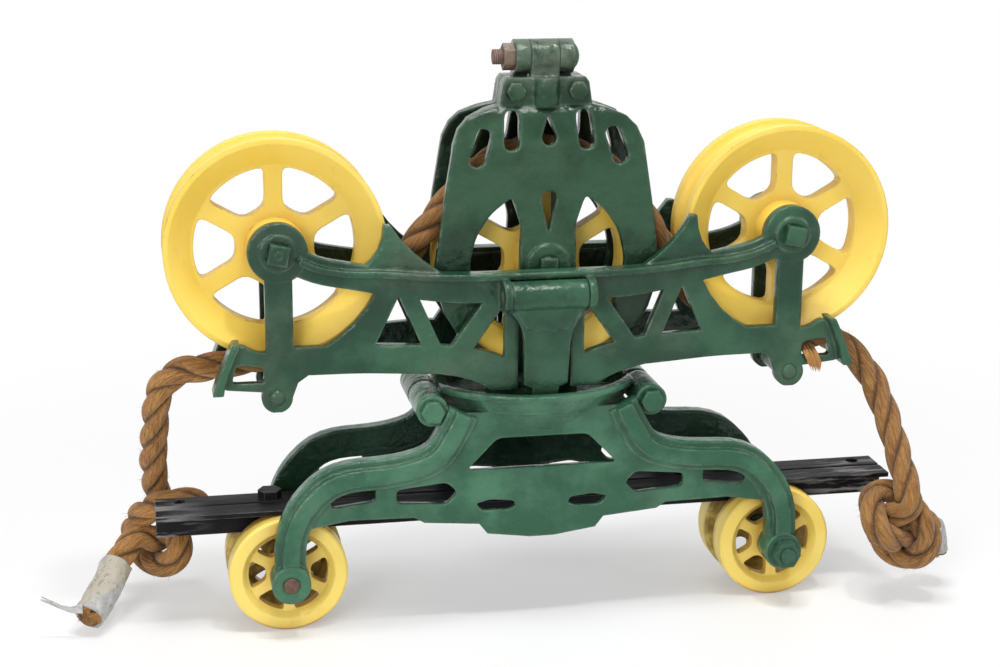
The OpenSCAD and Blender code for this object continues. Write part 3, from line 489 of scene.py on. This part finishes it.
def cut_end(i, way, count, seed):
    rng = np.random.default_rng(seed)
    made = []
    for _ in range(count):
        a, r = rng.uniform(0, 2 * math.pi), ROPE_R * 0.86 * math.sqrt(rng.uniform())
        out = math.cos(a) * side[i] + math.sin(a) * rise[i]
        foot = centre[i] + out * r - way * 0.5
        size = rng.uniform(1.0, 3.4)
        made.append(ribbon([foot, foot + way * size + rng.normal(0, 0.5, 3)], (0.5, 0.2), np.cross(way, out)))
    return made


def guide_tuft(count, seed):
    rng = np.random.default_rng(seed)
    made = []
    for _ in range(count):
        dx, dz, drop = rng.uniform(-6, 6), rng.uniform(-2, 2), rng.uniform(0.55, 1)
        lock = [(236 + dx * 0.7, -11, 222 + dz), (234 + dx, -24, 221 + dz), (234 + dx, -36, 217 + dz * 0.5),
                (236 + dx * 1.1, -38, 217 - 7 * drop), (238 + dx * 0.7, -37, 217 - 15 * drop)]
        made.append(ribbon(lock, TUFT_WIDTHS, (1, rng.uniform(-0.6, 0.6), rng.uniform(-0.3, 0.3))))
    return made


fibres_left = ribbons("rope_fibres_left", strays_left + cut_end(0, -tangent[0], END_FIBRES, 4))
fibres_right = ribbons("rope_fibres_right", strays_right + cut_end(-1, tangent[-1], END_FIBRES, 9))
fibres_over = ribbons("rope_fibres_over", strays_over)
tuft = ribbons("rope_tuft_right_guide", guide_tuft(TUFT_FIBRES, 8))
threads = ribbons("tape_threads_left", strays_tape)
loose = [fibres_left, fibres_right, fibres_over, tuft]
for piece in loose:
    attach(piece, "fall_block" if piece is fibres_over else "carriage")
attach(threads, "carriage")
print("loose pieces:", [piece.name for piece in loose + [threads]])

# %% [markdown]
# ## The two free ends
# A rope is a fixed length of something that bends.

# %% [markdown]
# ## Helpers for node materials
# Every finish below is a small tree of nodes. These helpers add a node, join two sockets, and give the
# coordinates of the object itself, so that a pattern stays on the casting from wherever it is seen. Paint
# and dirt lie in layers, so one helper lays a colour over what is there already.

# %% Material helpers
def finish_of(name):
    material = bpy.data.materials.new(name)
    material.use_nodes = True
    tree = material.node_tree
    return material, tree, tree.nodes["Principled BSDF"]


def fill(tree, socket, value):
    if isinstance(value, bpy.types.NodeSocket):
        tree.links.new(value, socket)
    else:
        socket.default_value = value


def node(tree, kind, inputs=None, **settings):
    made = tree.nodes.new(kind)
    for key, value in settings.items():
        setattr(made, key, value)
    for key, value in (inputs or {}).items():
        fill(tree, made.inputs[key], value)
    return made


def combine(tree, a, b, operation="MULTIPLY"):
    return node(tree, "ShaderNodeMath", {0: a, 1: b}, operation=operation).outputs[0]


def between(tree, value, low, high, to_low=0.0, to_high=1.0):
    limits = {"Value": value, "From Min": low, "From Max": high, "To Min": to_low, "To Max": to_high}
    return node(tree, "ShaderNodeMapRange", limits, interpolation_type="SMOOTHSTEP").outputs["Result"]


def mixed(tree, share, first, second):
    blend = node(tree, "ShaderNodeMix", data_type="RGBA")
    fill(tree, blend.inputs[0], share)
    for index, colour in ((6, first), (7, second)):
        fill(tree, blend.inputs[index], (*colour, 1) if isinstance(colour, tuple) else colour)
    return blend.outputs[2]


def layer(tree, under, colour, share, strength):
    return mixed(tree, combine(tree, share, strength), under, colour)


def dress(tree, shader, colour, roughness, normal):
    for name, value in (("Base Color", colour), ("Roughness", roughness), ("Normal", normal)):
        fill(tree, shader.inputs[name], value)


print("material helpers ready")

# %% [markdown]
# ## Helpers for patterns and places
# Noise gives clouds and specks, and a bump turns either into relief. A Bevel node shades an edge as if it
# were rounded, and where its direction differs from the flat one there is an edge to wear. A face looks
# inwards where the sideways part of its direction and its own sideways place have opposite signs, so the
# product of the two finds it.

# %% Pattern helpers
def object_place(tree):
    return node(tree, "ShaderNodeTexCoord").outputs["Object"]


def axis_of(tree, vector, axis):
    return node(tree, "ShaderNodeSeparateXYZ", {0: vector}).outputs[axis]


def noise(tree, where, scale, detail=4.0, rough=0.55):
    settings = {"Vector": where, "Scale": scale, "Detail": detail, "Roughness": rough}
    return node(tree, "ShaderNodeTexNoise", settings).outputs["Fac"]


def bump(tree, height, strength, distance, under=None):
    relief = {"Height": height, "Strength": strength, "Distance": distance}
    if under is not None:
        relief["Normal"] = under
    return node(tree, "ShaderNodeBump", relief).outputs["Normal"]


def rounded_edges(tree, radius, samples=6):
    return node(tree, "ShaderNodeBevel", {"Radius": radius}, samples=samples).outputs["Normal"]


def edge_share(tree, rounded, low=0.02, high=0.25):
    flat = node(tree, "ShaderNodeNewGeometry").outputs["Normal"]
    same = node(tree, "ShaderNodeVectorMath", {0: rounded, 1: flat}, operation="DOT_PRODUCT").outputs["Value"]
    return between(tree, combine(tree, 1.0, same, "SUBTRACT"), low, high)


def openness(tree, distance=0.02):
    return node(tree, "ShaderNodeAmbientOcclusion", {"Distance": distance}, samples=4).outputs["AO"]


def looks_inward(tree, where, low, high):
    looks = axis_of(tree, node(tree, "ShaderNodeTexCoord").outputs["Normal"], "Y")
    return between(tree, combine(tree, looks, axis_of(tree, where, "Y")), low, high)


def stretched(tree, vector, scale):
    return node(tree, "ShaderNodeMapping", {"Vector": vector, "Scale": scale}).outputs["Vector"]


print("pattern helpers ready")

# %% [markdown]
# ## Green paint on rough castings
# Sand castings have soft edges and a skin of fine bumps, and several coats of enamel make them shine.
# Modelling the bumps would take millions of faces, so three sizes of noise raise them in the shading, and a
# clear coat that follows only the larger two keeps the glints sharp. Corners are painted darker, as shade
# and as dust, and edges get a paler green as a painted highlight and are rubbed to a greyer tone. The inner
# faces of the frames are painted nearly black, as grease and as the shade between the frames.

# %% Green enamel
CORNER_SHADE_AND_DUST, INSIDE_SHADE_AND_GREASE = (0.014, 0.020, 0.012), (0.006, 0.016, 0.010)
EDGE_HIGHLIGHT, RUBBED_EDGE = (0.10, 0.22, 0.15), (0.19, 0.25, 0.18)
OLD_COAT, TOP_DUST_AND_HIGHLIGHT = (0.105, 0.125, 0.085), (0.17, 0.21, 0.16)
PALE_TOP_FADE = 0.02


def green_enamel(name, deep, bright, worn_share, lump, pale_top_from=None):
    material, tree, shader = finish_of(name)
    where = object_place(tree)
    rounded = rounded_edges(tree, 0.0045, 8)
    edges = edge_share(tree, rounded, 0.01, 0.22)
    speck = noise(tree, where, 95.0, 3.0)
    rubbed = combine(tree, edges, between(tree, speck, 0.46, 0.66))
    faded = between(tree, noise(tree, where, 9.0, 6.0, 0.65), 0.50, 0.72)
    body = mixed(tree, between(tree, noise(tree, where, 16.0, 5.0), 0.39, 0.63), deep, bright)
    # Painted shade and dust: corners that little light reaches are darkened.
    body = mixed(tree, between(tree, openness(tree), 0.75, 0.25, 0.0, 0.8), body, CORNER_SHADE_AND_DUST)
    # Painted highlight: a paler green along every edge.
    body = layer(tree, body, EDGE_HIGHLIGHT, edges, 0.22)
    body = layer(tree, body, RUBBED_EDGE, rubbed, 0.5)
    body = layer(tree, body, OLD_COAT, faded, worn_share)
    # Painted shade and grease: faces that look inwards, between the frames, are nearly black.
    body = layer(tree, body, INSIDE_SHADE_AND_GREASE, looks_inward(tree, where, -0.003, -0.014), 0.8)
    # Painted highlight and dust: the top of the block is paler grey-green.
    if pale_top_from:
        high_up = between(tree, axis_of(tree, where, "Z"), pale_top_from, pale_top_from + PALE_TOP_FADE)
        body = layer(tree, body, TOP_DUST_AND_HIGHLIGHT, high_up, between(tree, speck, 0.3, 0.6, 0.1, 0.45))
    waves = bump(tree, noise(tree, where, 34.0, 2.0), lump, 0.004, rounded)
    lumps = bump(tree, noise(tree, where, 110.0, 4.0), lump, 0.002, waves)
    skin = bump(tree, noise(tree, where, 560.0, 2.0), 0.3, 0.0006, lumps)
    dress(tree, shader, body, between(tree, speck, 0.3, 0.75, 0.25, 0.45), skin)
    tree.links.new(lumps, shader.inputs["Coat Normal"])
    shader.inputs["Specular IOR Level"].default_value = 0.15
    shader.inputs["Coat Weight"].default_value = 0.4
    shader.inputs["Coat Roughness"].default_value = 0.07
    return material


green_truck = green_enamel("green_enamel_truck", (0.021, 0.096, 0.049), (0.060, 0.178, 0.104),
                           worn_share=0.22, lump=0.85)
green_carriage = green_enamel("green_enamel_carriage", (0.010, 0.050, 0.025), (0.032, 0.106, 0.056),
                              worn_share=0.45, lump=0.80)
# The block's green is the same enamel painted darker, as shade.
green_block_shaded = green_enamel("green_enamel_block_shaded", (0.006, 0.034, 0.014), (0.022, 0.076, 0.036),
                           worn_share=0.16, lump=0.75, pale_top_from=0.438)
print(green_truck.name, green_carriage.name, green_block_shaded.name)

# %% [markdown]
# ## Yellow paint on the wheels
# The sheaves and wheels are painted a warm yellow. The corners of the dished faces are painted brown, as
# shade and as stains, and the paint is chipped to bare iron here and there along the rims, where the rope and
# the bench have rubbed it. The inner faces of the track wheels, which no one cleans, are brown all over, and
# the wheels' yellow is painted brighter than the sheaves', as light, so the wheels get a finish of their own
# from the same function.

# %% Yellow enamel
CORNER_SHADE_AND_STAIN, WHEEL_GRIME = (0.47, 0.22, 0.02), (0.20, 0.11, 0.022)
OLD_VARNISH, CHIPPED_IRON = (0.52, 0.33, 0.08), (0.10, 0.065, 0.04)


def yellow_enamel(name, warm, pale, grimy_inside):
    material, tree, shader = finish_of(name)
    where = object_place(tree)
    rounded = rounded_edges(tree, 0.0022)
    chip = noise(tree, where, 70.0, 6.0, 0.7)
    body = mixed(tree, between(tree, noise(tree, where, 11.0, 5.0), 0.3, 0.7), warm, pale)
    # Painted shade and stains: the dished corners are browner.
    body = mixed(tree, between(tree, openness(tree), 0.93, 0.30, 0.0, 0.75), body, CORNER_SHADE_AND_STAIN)
    if grimy_inside:
        sideways = axis_of(tree, where, "Y")
        off_middle = node(tree, "ShaderNodeMath", {0: sideways}, operation="ABSOLUTE").outputs[0]
        near_middle = between(tree, off_middle, 0.020, 0.012, 0.0, 0.7)
        inner = combine(tree, looks_inward(tree, where, -0.003, -0.008), near_middle, "MAXIMUM")
        grime = between(tree, noise(tree, where, 45.0, 6.0, 0.65), 0.34, 0.60, 0.35, 0.9)
        body = layer(tree, body, WHEEL_GRIME, inner, grime)
    streak = between(tree, noise(tree, where, 23.0, 7.0, 0.7), 0.60, 0.74)
    body = layer(tree, body, OLD_VARNISH, streak, 0.28)
    worn = combine(tree, edge_share(tree, rounded, 0.03, 0.2), between(tree, chip, 0.56, 0.66))
    body = layer(tree, body, CHIPPED_IRON, worn, 0.85)
    lumps = bump(tree, noise(tree, where, 90.0, 4.0), 0.22, 0.0012, rounded)
    dress(tree, shader, body, between(tree, chip, 0.3, 0.7, 0.30, 0.50), lumps)
    shader.inputs["Specular IOR Level"].default_value = 0.35
    return material


yellow_sheave = yellow_enamel("yellow_enamel_sheaves", (0.86, 0.60, 0.085), (0.92, 0.67, 0.14), False)
# The wheels' yellow is the sheaves' paint made brighter, as painted light.
yellow_wheel_lit = yellow_enamel("yellow_enamel_wheels_lit", (0.92, 0.66, 0.12), (0.96, 0.74, 0.19), True)
print(yellow_sheave.name, yellow_wheel_lit.name)

# %% [markdown]
# ## Dark steel of the track
# The track is rolled steel, nearly black with mill scale, and rubbed grey along its edges and at both ends,
# where it was dragged about. Rolling leaves marks along the bar, so the noise for the scratches is
# stretched along it. That is quicker than drawing each scratch and never repeats.

# %% Track steel
SCALE_DEEP, SCALE_PALE = (0.004, 0.004, 0.005), (0.011, 0.010, 0.012)
SCRATCH_GREY, EDGE_GREY, SCUFF_GREY = (0.05, 0.048, 0.048), (0.26, 0.25, 0.24), (0.33, 0.33, 0.33)


def track_steel():
    material, tree, shader = finish_of("track_steel")
    where = object_place(tree)
    rounded = rounded_edges(tree, 0.0012)
    scratch = noise(tree, stretched(tree, where, (0.12, 1, 1)), 160.0, 5.0, 0.6)
    cloud = noise(tree, where, 22.0, 6.0, 0.65)
    body = mixed(tree, between(tree, cloud, 0.35, 0.7), SCALE_DEEP, SCALE_PALE)
    body = layer(tree, body, SCRATCH_GREY, between(tree, scratch, 0.55, 0.75), 0.25)
    worn = combine(tree, edge_share(tree, rounded, 0.01, 0.2), between(tree, cloud, 0.35, 0.6))
    body = layer(tree, body, EDGE_GREY, worn, 0.8)
    along = axis_of(tree, where, "X")
    right_end, left_end = between(tree, along, 0.190, 0.300), between(tree, along, -0.262, -0.330)
    ends = combine(tree, right_end, left_end, "MAXIMUM")
    scuff = combine(tree, ends, between(tree, scratch, 0.48, 0.60))
    body = layer(tree, body, SCUFF_GREY, scuff, 0.75)
    skin = bump(tree, scratch, 0.25, 0.0006, rounded)
    dress(tree, shader, body, between(tree, scratch, 0.3, 0.7, 0.42, 0.65), skin)
    shader.inputs["Specular IOR Level"].default_value = 0.15
    return material


steel = track_steel()
print(steel.name)

# %% [markdown]
# ## Rust, and iron that was half painted
# Axle ends, pins and the knuckle bolt are bare iron with a brown crust that is rough and has no shine. The
# wheel axles at the right end and the head of the knuckle bolt were painted over. Their parts could be
# split and given two finishes, but one finish that changes from left to right needs no cut.

# %% Rusty and half painted iron
CRUST_BROWN, CRUST_GREY, CRUST_PALE = (0.15, 0.082, 0.050), (0.24, 0.215, 0.185), (0.34, 0.30, 0.26)
DARK_RUST, RED_RUST, EDGE_RUST = (0.070, 0.040, 0.028), (0.17, 0.085, 0.055), (0.12, 0.06, 0.035)
BRUSHED_DEEP, BRUSHED_BRIGHT = (0.010, 0.060, 0.032), (0.030, 0.100, 0.058)
PAINT_STARTS, PAINT_FULL = -0.01, 0.01


def crust_noise(tree, where):
    return noise(tree, where, 240.0, 6.0, 0.7)


def rusty_iron():
    material, tree, shader = finish_of("rusty_iron")
    where = object_place(tree)
    crust = crust_noise(tree, where)
    cloud = noise(tree, where, 60.0, 5.0, 0.6)
    body = mixed(tree, between(tree, cloud, 0.3, 0.7), CRUST_BROWN, CRUST_GREY)
    body = layer(tree, body, CRUST_PALE, between(tree, crust, 0.5, 0.7), 0.6)
    skin = bump(tree, crust, 0.5, 0.0006, rounded_edges(tree, 0.001))
    dress(tree, shader, body, between(tree, crust, 0.3, 0.7, 0.55, 0.85), skin)
    return material


def half_painted_iron():
    material, tree, shader = finish_of("half_painted_iron")
    where = object_place(tree)
    crust = crust_noise(tree, where)
    patches = between(tree, crust, 0.35, 0.65)
    rounded = rounded_edges(tree, 0.0015)
    bare = mixed(tree, patches, DARK_RUST, RED_RUST)
    paint = mixed(tree, patches, BRUSHED_DEEP, BRUSHED_BRIGHT)
    paint = layer(tree, paint, EDGE_RUST, edge_share(tree, rounded), between(tree, crust, 0.45, 0.6))
    on_right = between(tree, axis_of(tree, where, "X"), PAINT_STARTS, PAINT_FULL)
    skin = bump(tree, crust, 0.4, 0.0006, rounded)
    dress(tree, shader, mixed(tree, on_right, bare, paint), between(tree, crust, 0.3, 0.7, 0.45, 0.75), skin)
    return material


rust, half_painted = rusty_iron(), half_painted_iron()
print(rust.name, half_painted.name)

# %% [markdown]
# ## Rope fibre
# Each strand is spun from yarns that run at a slant to it. The places stored on the corners, as if the rope
# were pulled straight, draw them as long thin noise, both in the colour and in the bump, and the paler yarns
# carry a painted highlight. The grooves between strands are painted dark, as shade and as dust. The middle
# of the rope has run over the sheaves and is painted darker than its left end, as grease and as shade.

# %% Rope fibre
FIBRE_DEEP, FIBRE_BRIGHT, YARN_TONE_AND_HIGHLIGHT = (0.21, 0.080, 0.014), (0.42, 0.190, 0.042), (0.60, 0.33, 0.10)
HAIR_DARK, GREASE_AND_SHADE_BROWN, GROOVE_SHADE_AND_DUST = (0.10, 0.034, 0.007), (0.080, 0.032, 0.010), (0.035, 0.013, 0.005)


def attribute(tree, name, output):
    return node(tree, "ShaderNodeAttribute", attribute_name=name).outputs[output]


def rope_fibre():
    material, tree, shader = finish_of("rope_fibre")
    straight = attribute(tree, "straight", "Vector")
    long_way = stretched(tree, straight, (1, 1, 0.06))
    yarn = between(tree, noise(tree, long_way, 0.62, 2.0), 0.36, 0.64)
    hair = noise(tree, long_way, 2.4, 3.0, 0.7)
    patch = noise(tree, object_place(tree), 30.0, 5.0)
    along = axis_of(tree, straight, "Z")
    past_sheaves = between(tree, along, 1200, 1300, 0.0, 0.2)
    # Painted shade and grease: the middle of the rope and its right end are darker.
    greasy_shaded = combine(tree, between(tree, along, 560, 760, 0.0, 0.45), past_sheaves, "SUBTRACT")
    body = mixed(tree, between(tree, patch, 0.32, 0.68), FIBRE_DEEP, FIBRE_BRIGHT)
    # Paler yarns, partly a painted highlight on their raised lines.
    body = layer(tree, body, YARN_TONE_AND_HIGHLIGHT, yarn, 0.6)
    body = mixed(tree, between(tree, hair, 0.47, 0.66, 0.0, 0.75), body, HAIR_DARK)
    body = mixed(tree, greasy_shaded, body, GREASE_AND_SHADE_BROWN)
    # Painted shade and dust: the grooves between strands are dark.
    body = layer(tree, body, GROOVE_SHADE_AND_DUST, attribute(tree, "groove", "Fac"), 0.85)
    lines = bump(tree, yarn, 0.55, 0.0008)
    dress(tree, shader, body, 0.85, bump(tree, hair, 0.6, 0.0005, lines))
    shader.inputs["Sheen Weight"].default_value = 0.15
    return material


fibre = rope_fibre()
for piece in ropes + loose:
    piece.data.materials.append(fibre)
print(fibre.name)

# %% [markdown]
# ## Cloth tape
# The tape is a grey plastic skin on a coarse cloth. Where the skin has worn through, the pale woven threads
# show, so the finish goes from one to the other by a number stored on the wrapping. The crumpled skin is
# noise, and the weave is a band of waves, because threads are regular and noise is not.

# %% Cloth tape
SKIN_DEEP, SKIN_PALE, CREASE_SHADE_AND_DIRT = (0.34, 0.34, 0.335), (0.52, 0.52, 0.51), (0.17, 0.15, 0.125)
LINEN_DEEP, LINEN_PALE = (0.33, 0.27, 0.18), (0.66, 0.62, 0.52)


def cloth_tape():
    material, tree, shader = finish_of("cloth_tape")
    where = object_place(tree)
    cloud = noise(tree, where, 70.0, 5.0, 0.6)
    crumple = noise(tree, where, 230.0, 5.0, 0.65)
    fibrous = between(tree, attribute(tree, "fibrous", "Fac"), 0.15, 0.35)
    weave = node(tree, "ShaderNodeTexWave", {"Vector": where, "Scale": 300.0, "Distortion": 2.0},
                 wave_type="BANDS", bands_direction="DIAGONAL").outputs["Fac"]
    body = mixed(tree, between(tree, cloud, 0.3, 0.7), SKIN_DEEP, SKIN_PALE)
    body = layer(tree, body, mixed(tree, weave, LINEN_DEEP, LINEN_PALE), fibrous, 0.8)
    # Painted shade and dirt: the hollows of the crumpled skin are darker.
    body = mixed(tree, between(tree, crumple, 0.46, 0.36, 0.0, 0.55), body, CREASE_SHADE_AND_DIRT)
    cloth = bump(tree, weave, 0.25, 0.0004)
    crease = bump(tree, crumple, 0.8, 0.0014, cloth)
    dress(tree, shader, body, between(tree, fibrous, 0.0, 1.0, 0.40, 0.80), crease)
    return material


tape = cloth_tape()
for piece in (tape_left, tape_right, tape_strip, threads):
    piece.data.materials.append(tape)
print(tape.name)

# %% [markdown]
# ## Painting the solid parts
# Every solid part was packed with the name of its finish, so one table is enough to paint them all. The
# three greens go by what a part belongs to: the truck is the brightest, the carriage the most rubbed, and
# the fall block the darkest, its green painted darker as shade under the upper bar.

# %% Assign the finishes
HALF_PAINTED_PARTS = ("stub_axles", "stub_nuts", "stub_washers", "knuckle_bolt")
coats = {"yellow_paint": yellow_sheave, "black_steel": steel, "rusty_iron": rust, "rope": fibre,
         "grey_tape": tape}
greens = {"truck": green_truck, "carriage": green_carriage, "fall_block": green_block_shaded}
body_of = {name: body for body, names in frame["record"]["behaviour"]["bodies"].items() for name in names}


def coat_for(name, slot):
    if name in HALF_PAINTED_PARTS:
        return half_painted
    if name.startswith("track_wheel"):
        return yellow_wheel_lit
    if slot == "green_paint":
        return greens.get(body_of[name], green_carriage)
    return coats[slot]


for part in frame["record"]["subparts"]:
    mesh = nodes[part["node"]].data
    mesh.materials.clear()
    mesh.materials.append(coat_for(part["node"], part["material_slot"]))

# %% [markdown]
# ## Thread on the knuckle bolt
# The free end of the bolt through the knuckle shows its thread. A stack of rings would look like one from
# afar, but a thread is one ridge wound round a bar, so it is made by stepping a small triangle round the
# bolt's end and forward at the same time. The ridge sinks into the bar at both ends of the winding.

# %% Bolt thread
THREAD_R, PITCH, THREAD_LENGTH = 5.7, 1.75, 6.4
PER_TURN, FADE_STEPS = 28, 8
RIDGE_HALF, RIDGE_HIGH, ROOT_SUNK = 0.42 * PITCH, 0.372 * PITCH, 0.15
BOLT_END = 0.8


def add_trim(name, corners, faces, body, coat, slot):
    piece = add_mesh(name, corners, faces, False)
    piece.data.materials.append(coat)
    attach(piece, body)


def thread(start, axis, u):
    v = np.cross(axis, u)
    count = round(THREAD_LENGTH / PITCH * PER_TURN)
    corners, faces = [], []
    for i in range(count + 1):
        a = 2 * math.pi * i / PER_TURN
        fade = min(1.0, i / FADE_STEPS, (count - i) / FADE_STEPS)
        out = math.cos(a) * u + math.sin(a) * v
        base = start + axis * (PITCH * i / PER_TURN)
        root = out * (THREAD_R - ROOT_SUNK)
        corners += [base - axis * RIDGE_HALF + root, base + out * (THREAD_R + RIDGE_HIGH * fade),
                    base + axis * RIDGE_HALF + root]
    for j in range(0, 3 * count, 3):
        faces += [(j, j + 1, j + 4, j + 3), (j + 1, j + 2, j + 5, j + 4), (j + 2, j, j + 3, j + 5)]
    return corners, faces + [(0, 2, 1), (3 * count, 3 * count + 1, 3 * count + 2)]


bolt_low, bolt_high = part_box("knuckle_bolt")
bolt_start = np.array((bolt_low.x / MM + BOLT_END, 0, (bolt_low.z + bolt_high.z) / 2 / MM))
ridge = thread(bolt_start, np.array((1.0, 0, 0)), np.array((0, 0, 1.0)))
add_trim("knuckle_thread", *ridge, "fall_block", rust, "rusty_iron")
print("bolt thread at", round(bolt_low.x / MM, 1), "mm")

# %% [markdown]
# ## A centre mark
# The left axle's square head keeps the raised ring and dimple where the lathe's centre held it. It is
# round, so a profile of five points, each a radius and a height, is swung round the axle.

# %% Centre mark on the left axle
MARK_PROFILE = [(4.4, -0.4), (4.4, 0.6), (3.7, 1.0), (2.9, 1.0), (2.2, 0.2)]
MARK_AROUND = 24


def turned(foot, out, profile):
    u = np.array((1.0, 0, 0))
    v = np.cross(out, u)
    around = np.linspace(0, 2 * math.pi, MARK_AROUND, endpoint=False)
    corners = [foot + out * h + r * (math.cos(a) * u + math.sin(a) * v) for r, h in profile for a in around]
    bottom = tuple((len(profile) - 1) * MARK_AROUND + k for k in range(MARK_AROUND))
    return corners, ring_faces(len(profile), MARK_AROUND) + [bottom]


axle_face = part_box("sheave_axles")[0].y / MM
mark = turned(np.array((-SHEAVE_X, axle_face, SHEAVE_Z)), np.array((0, -1.0, 0)), MARK_PROFILE)
add_trim("axle_centre_mark", *mark, "carriage", green_carriage, "green_paint")
print("centre mark at", round(axle_face, 1), "mm")

# %% [markdown]
# ## The bench
# The floor is one large pale sheet. Near the trolley it takes the shadow, and further off it turns into
# plain white for the camera, so that no edge of the sheet shows. A stronger lamp would also whiten it, but
# would bleach the paint.

# %% Bench
BENCH_HALF = 20000
BENCH_DROP = 0.0005
BENCH_DEEP, BENCH_PALE = (0.89, 0.89, 0.90), (0.93, 0.93, 0.935)
WHITE = (1, 1, 1, 1)


def seen_directly(tree):
    path = node(tree, "ShaderNodeLightPath").outputs
    mirrored = combine(tree, path["Is Glossy Ray"], path["Is Transmission Ray"], "MAXIMUM")
    return combine(tree, path["Is Camera Ray"], mirrored, "MAXIMUM")


def bench_paint():
    material, tree, shader = finish_of("bench_paint")
    where = object_place(tree)
    fill(tree, shader.inputs["Base Color"], mixed(tree, noise(tree, where, 6.0, 4.0), BENCH_DEEP, BENCH_PALE))
    shader.inputs["Roughness"].default_value = 0.5
    far = node(tree, "ShaderNodeVectorMath", {0: where}, operation="LENGTH").outputs["Value"]
    share = combine(tree, between(tree, far, 0.15, 1.0, 0.3, 1.0), seen_directly(tree))
    white = node(tree, "ShaderNodeEmission", {"Color": WHITE, "Strength": 1.0})
    joined = node(tree, "ShaderNodeMixShader", {0: share, 1: shader.outputs[0], 2: white.outputs[0]})
    tree.links.new(joined.outputs[0], tree.nodes["Material Output"].inputs["Surface"])
    return material


bench_corners = [(BENCH_HALF * x, BENCH_HALF * y, 0) for x, y in ((-1, -1), (1, -1), (1, 1), (-1, 1))]
bench = add_mesh("bench", bench_corners, [(0, 1, 2, 3)], False)
bench.location.z = -BENCH_DROP
bench.data.materials.append(bench_paint())
print("bench:", 2 * BENCH_HALF * MM, "m wide")

# %% [markdown]
# ## The light
# The light is soft: a bright sky all round, a wide lamp overhead and two in front, and one small lamp that
# gives the enamel its glints. The strengths are chosen so that a colour comes out about as it is written.

# %% Sky and lamps
SKY_STRENGTH = 0.43
LAMPS = (
    ("front_left_lamp", (-1.3, -2.0, 1.1), (0, 0, 0.15), 0.9, 20),
    ("right_lamp", (1.9, -1.2, 1.2), (0, 0, 0.15), 0.8, 5),
    ("top_lamp", (-0.2, -0.30, 2.2), (0, 0, 0.2), 0.6, 20),
    ("glint_lamp", (0.25, -0.55, 2.0), (0, 0, 0.2), 0.16, 10))


def studio_sky():
    sky = bpy.data.worlds.new("studio_sky")
    sky.use_nodes = True
    tree = sky.node_tree
    glow = tree.nodes["Background"]
    glow.inputs["Color"].default_value = WHITE
    glow.inputs["Strength"].default_value = SKY_STRENGTH
    white = node(tree, "ShaderNodeBackground", {"Color": WHITE, "Strength": 1.0})
    share = seen_directly(tree)
    either = node(tree, "ShaderNodeMixShader", {0: share, 1: glow.outputs[0], 2: white.outputs[0]})
    tree.links.new(either.outputs[0], tree.nodes["World Output"].inputs["Surface"])
    return sky


def add_lamp(name, stands, aim, width, power):
    light = bpy.data.lights.new(name, "AREA")
    light.size = width
    light.energy = power
    lamp = bpy.data.objects.new(name, light)
    lamp.location = stands
    lamp.rotation_euler = (Vector(aim) - Vector(stands)).to_track_quat("-Z", "Y").to_euler()
    bpy.context.scene.collection.objects.link(lamp)


bpy.context.scene.world = studio_sky()
for row in LAMPS:
    add_lamp(*row)
print("lamps:", [row[0] for row in LAMPS])

# %% [markdown]
# ## Last steps
# The picture's colours are shown as they are.

# %% Finish
bpy.context.scene.view_settings.view_transform = "Standard"
